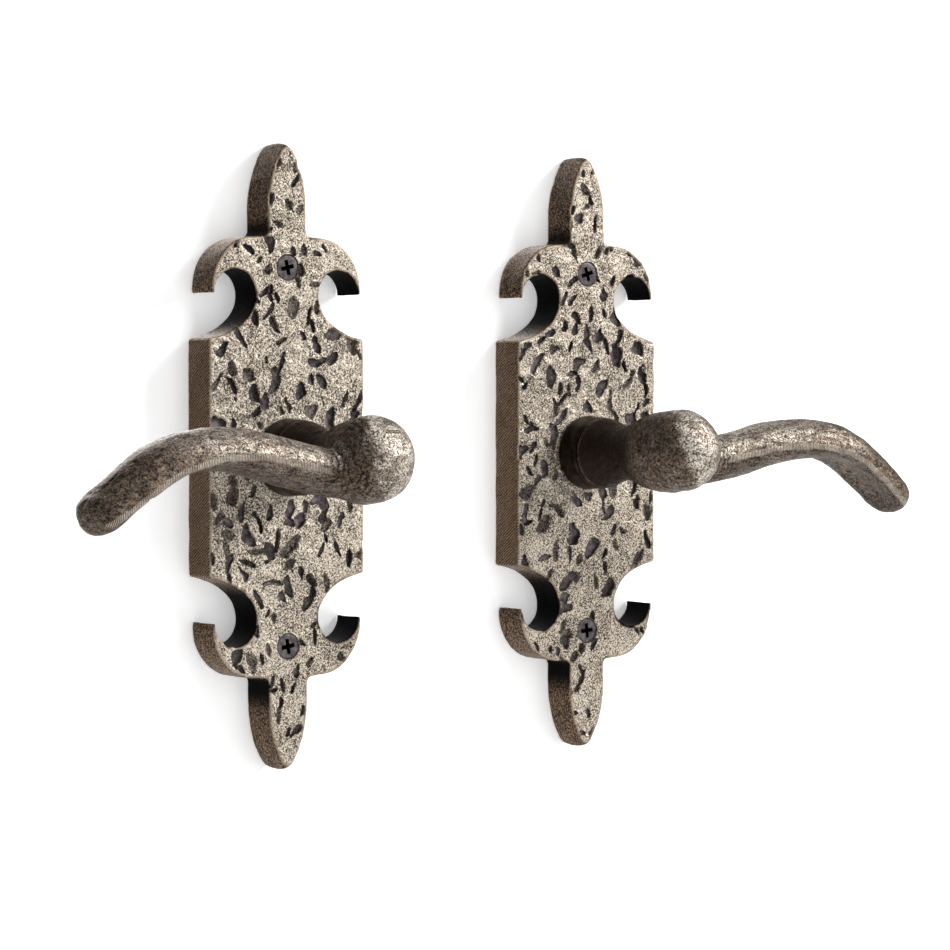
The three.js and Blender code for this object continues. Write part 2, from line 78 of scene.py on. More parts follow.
def noise(points, size, seed):
    """Smooth random values from -1 to 1 at points (n, 3), with features about `size` across."""
    scaled = np.asarray(points, float) / size
    cell = np.floor(scaled).astype(np.int64)
    weight = smooth(scaled - cell)
    total = np.zeros(len(scaled))
    for corner in itertools.product((0, 1), repeat=3):
        c = cell + corner
        h = c[:, 0] * 73856093 ^ c[:, 1] * 19349663 ^ c[:, 2] * 83492791 ^ (seed * 26544357 + 97)
        h = h & 0x7FFFFFFF
        h = ((h ^ (h >> 13)) * 1274126177) & 0x7FFFFFFF
        h = ((h ^ (h >> 16)) * 40503) & 0x7FFFFFFF
        share = np.prod(np.where(corner, weight, 1 - weight), axis=1)
        total += share * (h / 0x3FFFFFFF - 1)
    return total


def layered_noise(points, size, seed, layers=3):
    total = 0.0
    for k in range(layers):
        total = total + noise(points, size / 2**k, seed + 31 * k) / 2**k
    return total


# ---- meshes ---------------------------------------------------------------------------------


def make_object(name, vertices_mm, faces, attributes=None, smooth_shading=True):
    """A mesh object from vertices in millimetres and a list of faces (any sizes)."""
    mesh = bpy.data.meshes.new(name)
    mesh.from_pydata((np.asarray(vertices_mm) * MM).tolist(), [], [list(map(int, f)) for f in faces])
    for key, values in (attributes or {}).items():
        layer = mesh.attributes.new(key, "FLOAT", "POINT")
        layer.data.foreach_set("value", np.asarray(values, np.float32))
    mesh.validate()
    mesh.update()
    if smooth_shading:
        mesh.polygons.foreach_set("use_smooth", [True] * len(mesh.polygons))
    obj = bpy.data.objects.new(name, mesh)
    bpy.context.scene.collection.objects.link(obj)
    return obj


def vertices_of(obj):
    co = np.zeros(len(obj.data.vertices) * 3)
    obj.data.vertices.foreach_get("co", co)
    return co.reshape(-1, 3) / MM


def set_vertices(obj, vertices_mm):
    obj.data.vertices.foreach_set("co", (vertices_mm * MM).ravel())
    obj.data.update()


def normals_on(obj):
    n = np.zeros(len(obj.data.vertices) * 3)
    obj.data.vertex_normals.foreach_get("vector", n)
    return n.reshape(-1, 3)


def set_attribute(obj, name, values):
    layer = obj.data.attributes.get(name) or obj.data.attributes.new(name, "FLOAT", "POINT")
    layer.data.foreach_set("value", np.asarray(values, np.float32))


def bridge(first, second, count, flip=False):
    """Quads between two closed rings of `count` vertices that start at these indices."""
    quads = []
    for i in range(count):
        j = (i + 1) % count
        quad = (first + i, first + j, second + j, second + i)
        quads.append(quad[::-1] if flip else quad)
    return quads


def apply_modifiers(obj):
    bpy.context.view_layer.update()
    graph = bpy.context.evaluated_depsgraph_get()
    mesh = bpy.data.meshes.new_from_object(obj.evaluated_get(graph))
    obj.modifiers.clear()
    obj.data = mesh


def combine(obj, other, operation):
    """Joins other to obj ("UNION") or cuts it out of obj ("DIFFERENCE"), and uses it up."""
    change = obj.modifiers.new("combine", "BOOLEAN")
    change.operation = operation
    change.solver = "EXACT"
    change.object = other
    apply_modifiers(obj)
    bpy.data.objects.remove(other)


def ring_points(radius, y, count, centre=(0.0, 0.0)):
    angle = np.linspace(0, 2 * math.pi, count, endpoint=False)
    x = centre[0] + radius * np.cos(angle)
    z = centre[1] + radius * np.sin(angle)
    return np.column_stack([x, np.full(count, y), z])


def loft(name, rings, closed=False, flip=False):
    """A skin over rings of equally many points, capped at both ends, or closed end to end."""
    count = len(rings[0])
    last = (len(rings) - 1) * count
    faces = []
    for start in range(0, last, count):
        faces += bridge(start, start + count, count)
    if closed:
        faces += bridge(last, 0, count)
    else:
        faces.append(tuple(range(count))[::-1])
        faces.append(tuple(range(last, last + count)))
    if flip:
        faces = [face[::-1] for face in faces]
    return make_object(name, np.vstack(rings), faces)


def turned(name, profile, count, centre=(0.0, 0.0)):
    """A solid of revolution along Y. The profile's (radius, y) points run over the outside from
    the back to the front; a tube's profile goes on through its bore and repeats its start."""
    closed = profile[0] == profile[-1]
    rows = profile[:-1] if closed else profile
    return loft(name, [ring_points(r, y, count, centre) for r, y in rows], closed)


def sharpen(obj, degrees=35):
    """Smooth shading, with the edges that turn more than this kept crisp."""
    obj.data.set_sharp_from_angle(angle=math.radians(degrees))


# ---- the backplate's outline ----------------------------------------------------------------

BODY_HALF_HEIGHT = 43.1
LANCE_HALF_WIDTH = 8.4
LANCE_WIDEST_Z = 90.0
LANCE_TIP_RADIUS = 1.5
LANCE_FILLET = 2.2
ARM_TOP_Z = 79.9
ARM_SLOPE = 0.3
ARM_CENTRE = (14.0, 61.0)
ARM_OUTER_X = 32.1
ARM_TIP_Z = 59.2
NOTCH_CENTRE = (22.3, 59.2)
NOTCH_RADIUS = 8.6
OUTLINE_STEP = 0.45


def arc(centre, radius_x, radius_z, from_deg, to_deg, count=40):
    angle = np.radians(np.linspace(from_deg, to_deg, count))
    return np.column_stack(
        [centre[0] + radius_x * np.cos(angle), centre[1] + radius_z * np.sin(angle)]
    )


def bezier(a, b, c, d, count=40):
    t = np.linspace(0, 1, count)[:, None]
    a, b, c, d = (np.array(p) for p in (a, b, c, d))
    return a * (1 - t) ** 3 + 3 * b * t * (1 - t) ** 2 + 3 * c * t * t * (1 - t) + d * t**3


def quarter_outline():
    """The upper right quarter, from the lance's tip to the body's side: points and how deep in a
    recess each one lies, from 0 on open edges to 1 inside the notch, which is how much painted
    shade the plate's side gets there."""
    rise = HALF_HEIGHT - LANCE_TIP_RADIUS - LANCE_WIDEST_Z
    run = LANCE_HALF_WIDTH - LANCE_TIP_RADIUS
    radius = (rise**2 / run + LANCE_HALF_WIDTH + LANCE_TIP_RADIUS) / 2
    centre_x = LANCE_HALF_WIDTH - radius
    tangent = math.degrees(math.atan2(rise, -centre_x))
    fillet = (LANCE_HALF_WIDTH + LANCE_FILLET, ARM_TOP_Z + LANCE_FILLET + ARM_SLOPE)
    neck_x = NOTCH_CENTRE[0] - NOTCH_RADIUS
    pieces = [
        (arc((0, LANCE_WIDEST_Z + rise), LANCE_TIP_RADIUS, LANCE_TIP_RADIUS, 90, tangent), 0, 0),
        (arc((centre_x, LANCE_WIDEST_Z), radius, radius, tangent, 0), 0, 0),
        (np.array([[LANCE_HALF_WIDTH, LANCE_WIDEST_Z], [LANCE_HALF_WIDTH, fillet[1]]]), 0.0, 0.8),
        (arc(fillet, LANCE_FILLET, LANCE_FILLET, 180, 270), 0.8, 0.8),
        (np.array([[fillet[0], ARM_TOP_Z + ARM_SLOPE], [ARM_CENTRE[0], ARM_TOP_Z]]), 0.8, 0.3),
        (arc(ARM_CENTRE, ARM_OUTER_X - ARM_CENTRE[0], ARM_TOP_Z - ARM_CENTRE[1], 90, 0), 0, 0),
        (np.array([[ARM_OUTER_X, ARM_CENTRE[1]], [ARM_OUTER_X - 0.4, ARM_TIP_Z]]), 0, 0),
        (arc(NOTCH_CENTRE, NOTCH_RADIUS, NOTCH_RADIUS, 0, 180), 1, 1),
        (
            bezier(
                (neck_x, NOTCH_CENTRE[1]),
                (neck_x, 52.0),
                (19.5, 45.8),
                (HALF_WIDTH - 0.8, BODY_HALF_HEIGHT + 0.1),
            ),
            1.7,
            0.0,
        ),
        (np.array([[HALF_WIDTH, BODY_HALF_HEIGHT - 0.7], [HALF_WIDTH, 0.0]]), 0, 0),
    ]
    points = np.vstack([p for p, _, _ in pieces])
    recess = np.concatenate([np.linspace(a, b, len(p)) for p, a, b in pieces]).clip(0, 1)
    return points, recess


def whole_outline():
    """The closed outline, anticlockwise seen from the front with x to the right, in even steps."""
    points, recess = quarter_outline()
    upper_right = np.column_stack([points, recess])
    lower_right = upper_right[::-1] * (1, -1, 1)
    right = np.vstack([upper_right, lower_right])
    left = right[::-1] * (-1, 1, 1)
    loop = np.vstack([right, left])[::-1]
    step = np.linalg.norm(np.diff(loop[:, :2], axis=0, append=loop[:1, :2]), axis=1)
    loop = loop[step > 1e-6]
    step = step[step > 1e-6]
    along = np.concatenate([[0], np.cumsum(step)])
    count = int(along[-1] / OUTLINE_STEP)
    at = np.linspace(0, along[-1], count, endpoint=False)
    closed = np.vstack([loop, loop[:1]])
    return np.column_stack([np.interp(at, along, closed[:, k]) for k in range(3)])


def outward_normals(loop):
    tangent = np.roll(loop, -2, axis=0) - np.roll(loop, 2, axis=0)
    normal = np.column_stack([tangent[:, 1], -tangent[:, 0]])
    for _ in range(2):
        normal = np.roll(normal, 1, axis=0) + normal * 2 + np.roll(normal, -1, axis=0)
    return normal / np.linalg.norm(normal, axis=1, keepdims=True)


def local_width(loop):
    """How wide the plate is behind each outline point, up to a few millimetres."""
    count = len(loop)
    normal = outward_normals(loop)
    width = np.full(count, 20.0)
    for i in range(count):
        gap = loop - loop[i]
        depth = -(gap @ normal[i])
        aside = np.abs(gap @ np.array([-normal[i][1], normal[i][0]]))
        across = (aside < 0.5) & (depth > 0.25)
        if across.any():
            width[i] = min(width[i], depth[across].min())
    return width


# ---- dents in the face ----------------------------------------------------------------------

DENT_COUNT = 150
DENT_TRIES = 6000
DENT_SPACING = 0.60
# half lengths and half widths
LONG_ON_BODY, LONG_ON_ENDS = (2.2, 5.4), (1.6, 3.6)
NARROWEST, WIDEST = 0.85, 2.5
SLENDER_SHARE = 0.45
# no dents near the hub and the screws
HUB_CLEARANCE, SCREW_CLEARANCE = 16.5, 5.6
DEEPEST = 2.2
# the plate's front wall is thin over the stop pins, so the dents above them are shallow
PIN_ZONE_RADIUS, DEEPEST_OVER_PINS = 22.5, 1.1
# dents grow shallow within this distance of the outline
EDGE_FADE = 2.2


def scatter_dents(rng, loop):
    """Places, sizes and shapes of the gouges, spread over the face without crowding."""
    dents = []
    tries = 0
    while len(dents) < DENT_COUNT and tries < DENT_TRIES:
        tries += 1
        x = rng.uniform(-HALF_WIDTH, HALF_WIDTH)
        z = rng.uniform(-HALF_HEIGHT + 4, HALF_HEIGHT - 4)
        if not crossings_inside(loop, np.array([[x, z]]))[0]:
            continue
        on_body = abs(z) < BODY_HALF_HEIGHT + 12
        length = rng.uniform(*(LONG_ON_BODY if on_body else LONG_ON_ENDS))
        slender = rng.uniform(0, 1) < SLENDER_SHARE
        share = rng.uniform(0.20, 0.34) if slender else rng.uniform(0.36, 0.64)
        near_hub = math.hypot(x, z) < HUB_CLEARANCE - 1
        near_screw = math.hypot(x, abs(z) - SCREW_Z) < SCREW_CLEARANCE
        crowded = any(
            math.hypot(x - d["x"], z - d["z"]) < DENT_SPACING * (length + d["length"])
            for d in dents
        )
        if near_hub or near_screw or crowded:
            continue
        dents.append(
            {
                "x": x,
                "z": z,
                "length": length,
                "width": min(max(length * share, NARROWEST), WIDEST),
                "angle": rng.normal(1.45, 0.62),
                "bend": rng.uniform(-0.22, 0.22),
                "taper": rng.uniform(-0.5, 0.5),
                "depth": rng.uniform(0.9, 1.7),
                "lean": rng.uniform(-0.5, 0.5),
                "seed": int(rng.integers(1, 9999)),
                "rough": rng.uniform(0.18, 0.50),
                "dark": rng.choice([0.25, 0.8, 1.0]),
            }
        )
    return dents


def crossings_inside(loop, points):
    """True where points (n, 2) lie inside the closed loop."""
    a = loop[:, :2]
    b = np.roll(a, -1, axis=0)
    x, z = points[:, 0][:, None], points[:, 1][:, None]
    spans = (a[None, :, 1] > z) != (b[None, :, 1] > z)
    with np.errstate(divide="ignore", invalid="ignore"):
        at = (b[None, :, 0] - a[None, :, 0]) * (z - a[None, :, 1]) / (b[None, :, 1] - a[None, :, 1])
    return (np.sum(spans & (x < at + a[None, :, 0]), axis=1) % 2) == 1


def distance_to(loop, points):
    """Distance from each point (n, 2) to the nearest point of the loop."""
    nearest = np.zeros(len(points))
    for start in range(0, len(points), 4000):
        block = points[start : start + 4000]
        square = ((block[:, None, :] - loop[None, :, :2]) ** 2).sum(axis=2)
        nearest[start : start + 4000] = np.sqrt(square.min(axis=1))
    return nearest


def dig(dents, x, z):
    """Depth of the dents at each point in millimetres, and how much it is the floor of one."""
    flat = np.column_stack([x, np.zeros_like(x), z])
    depth = np.zeros_like(x)
    floor = np.zeros_like(x)
    for d in dents:
        near = (np.abs(x - d["x"]) < 7) & (np.abs(z - d["z"]) < 7)
        dx = x[near] - d["x"]
        dz = z[near] - d["z"]
        c, s = math.cos(d["angle"]), math.sin(d["angle"])
        u = (dx * c + dz * s) / d["length"]
        v = (dz * c - dx * s) / d["width"]
        v = v - d["bend"] * (u**2) * d["length"]
        v = v / (1 + d["taper"] * u)
        wobble = layered_noise(flat[near], 2.6, d["seed"], 2) * d["rough"]
        r = np.sqrt(u**2 + v**2) + wobble
        inside = smooth((1.0 - r) / 0.24)
        rim = smooth((1.42 - r) / 0.3) * smooth((r - 0.92) / 0.18)
        bottom = d["depth"] * (1 + d["lean"] * np.clip(v, -1, 1))
        depth[near] = np.maximum(depth[near], inside * bottom) - 0.12 * rim
        floor[near] = np.maximum(floor[near], d["dark"] * smooth((1.0 - r) / 0.2))
    return depth, floor


def cast_unevenness(flat, seed):
    """The face's own swells, low ledges and grit, in millimetres."""
    swell = 0.18 * layered_noise(flat, 9.0, seed, 2) + 0.08 * noise(flat, 2.2, seed + 5)
    ledge = layered_noise(flat, 6.5, seed + 13, 3)
    ledges = 0.34 * smooth((ledge - 0.12) / 0.14) + 0.2 * smooth((-0.42 - ledge) / 0.1)
    return swell + ledges + 0.05 * noise(flat, 0.9, seed + 9)


def face_relief(x, z, dents, seed, from_edge):
    """Depth below the flat face in millimetres, and how much each point is floor of a dent."""
    depth, floor = dig(dents, x, z)
    from_hub = np.hypot(x, z)
    from_screw = np.hypot(x, np.abs(z) - SCREW_Z)
    keep = smooth((from_hub - HUB_CLEARANCE + 1.5) / 1.5) * smooth((from_screw - 5.0) / 0.6)
    total = depth * (0.35 + 0.65 * smooth(from_edge / EDGE_FADE))
    total += cast_unevenness(np.column_stack([x, np.zeros_like(x), z]), seed)
    over_pins = smooth((PIN_ZONE_RADIUS + 1 - from_hub) / 2.0)
    deepest = DEEPEST + (DEEPEST_OVER_PINS - DEEPEST) * over_pins
    return np.minimum(total, deepest) * keep + 0.05, floor * keep


# ---- the backplate --------------------------------------------------------------------------

# distance between the vertices of each face, and how far they stay from its outline
FACE_STEP, FACE_MARGIN = 0.46, 0.32
BACK_STEP, BACK_MARGIN = 3.0, 1.2
BORE_SIDES, SCREW_HOLE_SIDES = 96, 48
EDGE_ROUND = 0.9
ROW_STEP = 0.8
BACK_CHAMFER = 0.3
# painted shadow: the lower lance's side is painted black where the arms overhang it, fading out
# between these depths
LANCE_SHADE_Z = (84.0, 97.0)
SEAT_RADIUS, SEAT_DEPTH = 30.0, 2.6
POCKET_RADIUS, POCKET_DEPTH = 24.0, 11.0
BORE_RADIUS = 11.5
SCREW_MOUTH_RADIUS, SCREW_HOLE_RADIUS = 4.95, 2.7
SCREW_SINK, SCREW_CONE = 0.35, 2.7


def side_rows():
    """(y, inset) of each ring of side vertices, from the back to the front face."""
    rows = [(0.0, BACK_CHAMFER), (-BACK_CHAMFER, 0.0)]
    straight = THICKNESS - EDGE_ROUND - BACK_CHAMFER
    steps = int(straight / ROW_STEP)
    rows += [(-BACK_CHAMFER - straight * k / steps, 0.0) for k in range(1, steps + 1)]
    for k in range(1, 5):
        a = math.radians(90 * k / 4)
        y = -THICKNESS + EDGE_ROUND * (1 - math.sin(a))
        rows.append((y, EDGE_ROUND * (1 - math.cos(a))))
    return rows


def lattice_inside(loop, step, margin):
    """A triangular lattice of points inside the loop, at least margin from its points."""
    rows = []
    low, high = loop[:, 1].min(), loop[:, 1].max()
    a, b = loop[:, :2], np.roll(loop[:, :2], -1, axis=0)
    for k, z in enumerate(np.arange(low + step, high, step * 0.866)):
        hit = (a[:, 1] > z) != (b[:, 1] > z)
        xs = a[hit, 0] + (b[hit, 0] - a[hit, 0]) * (z - a[hit, 1]) / (b[hit, 1] - a[hit, 1])
        xs = np.sort(xs)
        for x0, x1 in zip(xs[0::2], xs[1::2]):
            start = math.ceil((x0 + margin) / step) * step + (step / 2 if k % 2 else 0)
            x = np.arange(start, x1 - margin, step)
            rows.append(np.column_stack([x, np.full(len(x), z)]))
    points = np.vstack(rows)
    return points[distance_to(loop, points) > margin]


def fill_face(outer, holes, lattice):
    """Triangles over the area between the outer ring and the hole rings (2D point arrays)."""
    rings = [outer] + [ring for ring, _, _ in holes]
    keep = np.ones(len(lattice), bool)
    for _, centre, radius in holes:
        keep &= np.hypot(lattice[:, 0] - centre[0], lattice[:, 1] - centre[1]) > radius + 0.3
    lattice = lattice[keep]
    points = np.vstack(rings + [lattice])
    edges = []
    start = 0
    for ring in rings:
        n = len(ring)
        edges += [(start + i, start + (i + 1) % n) for i in range(n)]
        start += n
    made = delaunay_2d_cdt([Vector(p) for p in points], edges, [], 1, 1e-6)
    if len(made[0]) != len(points):
        raise RuntimeError("the face's triangulation changed its points")
    triangles = np.array([f for f in made[2] if len(f) == 3])
    middle = points[triangles].mean(axis=1)
    inside = np.ones(len(triangles), bool)
    for _, centre, radius in holes:
        inside &= np.hypot(middle[:, 0] - centre[0], middle[:, 1] - centre[1]) > radius * 0.998
    triangles = triangles[inside]
    p = points[triangles]
    turn = np.cross(p[:, 1] - p[:, 0], p[:, 2] - p[:, 0])
    triangles[turn < 0] = triangles[turn < 0][:, ::-1]
    return lattice, triangles


def circle_hole(radius, sides, centre=(0.0, 0.0)):
    """A round hole in a face: its ring of (x, z) points, its centre and its radius."""
    return ring_points(radius, 0, sides, centre)[:, [0, 2]], centre, radius


class MeshBuilder:
    """Collects vertices and faces; adding points returns the index of the first one."""

    def __init__(self):
        self.vertices = []
        self.faces = []
        self.count = 0

    def add(self, points):
        start = self.count
        self.vertices.append(np.asarray(points, float))
        self.count += len(points)
        return start

    def add_flat(self, points, y):
        """Adds (x, z) points, all at the same y."""
        return self.add(np.column_stack([points[:, 0], np.full(len(points), y), points[:, 1]]))

    def add_face(self, outer_start, outer, holes, step, margin, y):
        """Fills a flat face at y, the back one at 0 or the front one, between its outer ring and
        its holes, and returns where each hole's ring starts."""
        lattice, triangles = fill_face(outer, holes, lattice_inside(outer, step, margin))
        first_new = self.count
        hole_starts = [self.add_flat(ring, y) for ring, _, _ in holes]
        self.add_flat(lattice, y)
        index = [*range(outer_start, outer_start + len(outer)), *range(first_new, self.count)]
        chosen = np.array(index)[triangles]
        self.faces += (chosen if y < 0 else chosen[:, ::-1]).tolist()
        return hole_starts

    def add_wall(self, front_start, back_start, profile, sides, centre=(0.0, 0.0)):
        """Joins a hole in the front face to one in the back face through (radius, y) rings."""
        starts = [front_start]
        starts += [self.add(ring_points(r, y, sides, centre)) for r, y in profile]
        starts.append(back_start)
        for a, b in zip(starts[:-1], starts[1:]):
            self.faces += bridge(a, b, sides, flip=True)


def tip_rounding(loop, y):
    """How far the lances' points are worn back at depth y, in millimetres."""
    near_tip = smooth((np.abs(loop[:, 1]) - (HALF_HEIGHT - 3.0)) / 3.0)
    from_middle = abs(-y - THICKNESS * 0.5) / (THICKNESS * 0.5)
    return (1.5 if -y > THICKNESS * 0.5 else 0.8) * near_tip * from_middle**2.5


def plate_shape(loop, normal):
    """The plain casting with its pocket, bore and screw holes: vertices, of which the rings of
    side vertices come first, and faces."""
    allowed = 0.3 * local_width(loop)
    build = MeshBuilder()
    starts = []
    for y, inset in side_rows():
        xz = loop - normal * np.minimum(inset, allowed)[:, None]
        xz[:, 1] -= np.sign(xz[:, 1]) * tip_rounding(loop, y)
        starts.append(build.add_flat(xz, y))
    for a, b in zip(starts[:-1], starts[1:]):
        build.faces += bridge(a, b, len(loop), flip=True)
    back_loop = build.vertices[0][:, [0, 2]]
    front_loop = build.vertices[-1][:, [0, 2]]

    screws = [(0.0, SCREW_Z), (0.0, -SCREW_Z)]
    front_holes = [circle_hole(BORE_RADIUS, BORE_SIDES)]
    front_holes += [circle_hole(SCREW_MOUTH_RADIUS, SCREW_HOLE_SIDES, place) for place in screws]
    fronts = build.add_face(
        starts[-1], front_loop, front_holes, FACE_STEP, FACE_MARGIN, -THICKNESS
    )
    back_holes = [circle_hole(SEAT_RADIUS, BORE_SIDES)]
    back_holes += [circle_hole(SCREW_HOLE_RADIUS, SCREW_HOLE_SIDES, place) for place in screws]
    backs = build.add_face(starts[0], back_loop, back_holes, BACK_STEP, BACK_MARGIN, 0.0)

    pocket = [(BORE_RADIUS, -POCKET_DEPTH), (POCKET_RADIUS, -POCKET_DEPTH)]
    pocket += [(POCKET_RADIUS, -SEAT_DEPTH), (SEAT_RADIUS, -SEAT_DEPTH)]
    build.add_wall(fronts[0], backs[0], pocket, BORE_SIDES)
    cone = [
        (SCREW_MOUTH_RADIUS, -THICKNESS + SCREW_SINK),
        (SCREW_HOLE_RADIUS, -THICKNESS + SCREW_SINK + SCREW_CONE),
    ]
    for front, back, place in zip(fronts[1:], backs[1:], screws):
        build.add_wall(front, back, cone, SCREW_HOLE_SIDES, place)
    return np.vstack(build.vertices), build.faces


def backplate(side, seed):
    """The weathered casting, with the masks that its material reads."""
    rng = np.random.default_rng(seed)
    outline = whole_outline()
    loop = outline[:, :2]
    normal = outward_normals(loop)
    v, faces = plate_shape(loop, normal)
    from_edge = distance_to(loop, v[:, [0, 2]])
    dents = scatter_dents(rng, outline)
    depth, floor = face_relief(v[:, 0], v[:, 2], dents, seed, from_edge)
    in_front = -v[:, 1] - THICKNESS
    frontness = smooth((in_front + 2.2) / 2.2)
    edge = smooth((in_front + 0.9) / 0.9)
    v[:, 1] += depth * frontness

    row_count = len(side_rows())
    side_count = row_count * len(loop)
    on_side = np.zeros(len(v))
    on_side[:side_count] = 1
    side_normal = np.zeros_like(v)
    side_normal[:side_count, [0, 2]] = np.tile(normal, (row_count, 1))
    ripple = 0.16 * layered_noise(v, 7.0, seed + 3, 2) + 0.05 * noise(v, 1.3, seed + 4) - 0.14
    v += side_normal * (ripple * on_side)[:, None]

    # painted shade: the sides are painted black in the notches and the lances' fillets
    recess = np.zeros(len(v))
    recess[:side_count] = np.tile(outline[:, 2], row_count)
    # painted shadow of the arms on the lower lance's side
    shade_top, shade_end = LANCE_SHADE_Z
    arm_shadow = smooth((v[:, 2] + shade_end) / (shade_end - shade_top))
    recess = np.maximum(recess, arm_shadow * (v[:, 2] < -ARM_TOP_Z - 1))
    masks = {
        "dent": floor * frontness,
        "side": on_side * (1 - smooth((-v[:, 1] - THICKNESS + 0.75) / 0.6)),
        "recess": recess * on_side,
        "edge": on_side * edge,
    }
    obj = make_object(f"{side}_plate_casting", v, faces, masks)
    sharpen(obj, 50)
    return moved(obj, SIDES[side] * SPINDLE_X)


# ---- the lever ------------------------------------------------------------------------------

# the blade from inside the ball to the tip: x, distance out from the plate, z, half depth from
# front to back, half thickness, and how far its front and back edges lie below its middle
BLADE = np.array(
    [
        (3.0, 52.0, -4.6, 8.0, 8.2, 0.0),
        (16.0, 51.6, -3.7, 8.7, 8.6, 0.0),
        (32.0, 51.2, -0.6, 9.6, 8.7, 0.2),
        (51.0, 52.0, 3.4, 11.0, 8.3, 1.7),
        (69.0, 52.8, 4.4, 12.2, 7.6, 3.4),
        (87.0, 53.0, -0.6, 12.4, 7.4, 3.6),
        (103.0, 52.6, -11.8, 11.7, 7.2, 2.9),
        (114.0, 52.2, -21.8, 9.6, 7.6, 1.0),
    ]
)
BALL_RADIUS = 15.6
BALL_CENTRE = (1.0, 54.7, 0.8)
TIP_ROUND = 8.5
# the front edge is filed flat at this share of the half depth
FILED_FLAT = 0.975
NECK = [(12.9, 9.9), (13.5, 10.5), (13.2, 13.0), (11.8, 17.8), (10.7, 21.7), (10.4, 25.5)]
NECK += [(10.8, 30.0), (11.6, 33.0), (12.7, 36.0), (13.8, 39.0), (14.6, 42.2), (15.2, 46.3)]
NECK += [(15.4, 50.0), (15.0, 54.0)]
JOURNAL_RADIUS = 8.85
JOURNAL_END = -7.4
GROOVE_RADIUS, GROOVE_FRONT, GROOVE_BACK = 8.2, -9.9, -8.3
SOCKET_HALF_WIDTH, SOCKET_END = 4.1, -50.3
GRUB_RADIUS, GRUB_OUT = 3.1, 14.5
SKIN_STEP = 0.52
# the neck keeps its exact turned shape up to here, where it runs in the bush
FREE_OUT = 10.5


def spline(stations, count):
    """Catmull-Rom curve through the rows of stations, in `count` even steps."""
    rows = np.vstack([2 * stations[0] - stations[1], stations, 2 * stations[-1] - stations[-2]])
    at = np.linspace(0, len(stations) - 1 - 1e-9, count)
    k = at.astype(int)
    t = (at - k)[:, None]
    a, b, c, d = rows[k], rows[k + 1], rows[k + 2], rows[k + 3]
    square = (2 * a - 5 * b + 4 * c - d) * t**2
    cube = (3 * b - a - 3 * c + d) * t**3
    return 0.5 * (2 * b + (c - a) * t + square + cube)


def blade_mesh(name):
    """The blade as a lofted skin: a rounded lens with a filed flat along its front edge and a
    hollow underside towards the tip."""
    rows, sides = 150, 72
    path = spline(BLADE, rows)
    step = np.gradient(path[:, :3], axis=0)
    length = np.cumsum(np.hypot(step[:, 0], step[:, 2]))
    left = length[-1] - length
    beyond = np.clip(1 - left / TIP_ROUND, 0, 0.998)
    round_off = np.sqrt(1 - beyond**2)
    tangent = np.column_stack([step[:, 0], step[:, 2]])
    tangent /= np.linalg.norm(tangent, axis=1, keepdims=True)
    angle = np.linspace(0, 2 * math.pi, sides, endpoint=False)
    cos, sin = np.cos(angle), np.sin(angle)
    front_power, back_power, height_power = 2 / 1.75, 2 / 2.4, 2 / 2.2
    power = np.where(cos > 0, front_power, back_power)
    across = np.sign(cos) * np.abs(cos) ** power
    upward = np.sign(sin) * np.abs(sin) ** height_power
    filed = np.minimum(across, FILED_FLAT)
    rings = []
    for i in range(rows):
        x, out, z, half_depth, half_thick, drop = path[i]
        hollow = smooth((x - 62) / 26) * smooth((114 - x) / 12)
        under = 1 - 0.75 * hollow * np.exp(-((across / 0.66) ** 2))
        above = (half_thick + drop) * upward - drop
        below = (half_thick - drop) * upward * under - drop
        depth = half_depth * round_off[i] * filed
        rise = round_off[i] ** 0.8 * np.where(upward > 0, above, below)
        up_x, up_z = -tangent[i][1], tangent[i][0]
        rings.append(np.column_stack([x + up_x * rise, -THICKNESS - out - depth, z + up_z * rise]))
    return loft(name, rings)


def lever_solid():
    """Blade, ball and neck in one, with the spindle's square socket and the grub screw's hole."""
    solid = blade_mesh("blade_shape")
    profile = [
        (JOURNAL_RADIUS, JOURNAL_END),
        (JOURNAL_RADIUS, GROOVE_BACK),
        (GROOVE_RADIUS, GROOVE_BACK),
        (GROOVE_RADIUS, GROOVE_FRONT),
        (JOURNAL_RADIUS, GROOVE_FRONT),
        (JOURNAL_RADIUS, -THICKNESS - NECK[0][1]),
    ]
    profile += [(r, -THICKNESS - out) for r, out in NECK]
    ball_x, ball_out, ball_z = BALL_CENTRE
    half_circle = [
        (BALL_RADIUS * math.sin(t), -THICKNESS - ball_out + BALL_RADIUS * math.cos(t))
        for t in np.linspace(0.02, math.pi - 0.02, 40)
    ]
    combine(solid, turned("neck_shape", profile, 72), "UNION")
    combine(solid, turned("ball_shape", half_circle, 64, (ball_x, ball_z)), "UNION")
    half = SOCKET_HALF_WIDTH
    combine(solid, box_mesh("socket", (-half, SOCKET_END, -half), (half, 1.0, half)), "DIFFERENCE")
    grub = turned("grub_hole", [(GRUB_RADIUS, 0.0), (GRUB_RADIUS, 20.0)], 32)
    turn_down(grub, -THICKNESS - GRUB_OUT)
    combine(solid, grub, "DIFFERENCE")
    return solid


def cast_skin(obj):
    """Gives the solid one even skin and eases its creases, as on a sand casting."""
    skin = obj.modifiers.new("skin", "REMESH")
    skin.mode = "VOXEL"
    skin.voxel_size = SKIN_STEP * MM
    skin.adaptivity = 0.0
    apply_modifiers(obj)
    v = vertices_of(obj)
    ease = obj.modifiers.new("ease", "CORRECTIVE_SMOOTH")
    ease.iterations = 6
    ease.smooth_type = "LENGTH_WEIGHTED"
    ease.use_only_smooth = True
    apply_modifiers(obj)
    free = smooth(-THICKNESS - FREE_OUT - v[:, 1])[:, None]
    set_vertices(obj, v * (1 - free) + vertices_of(obj) * free)


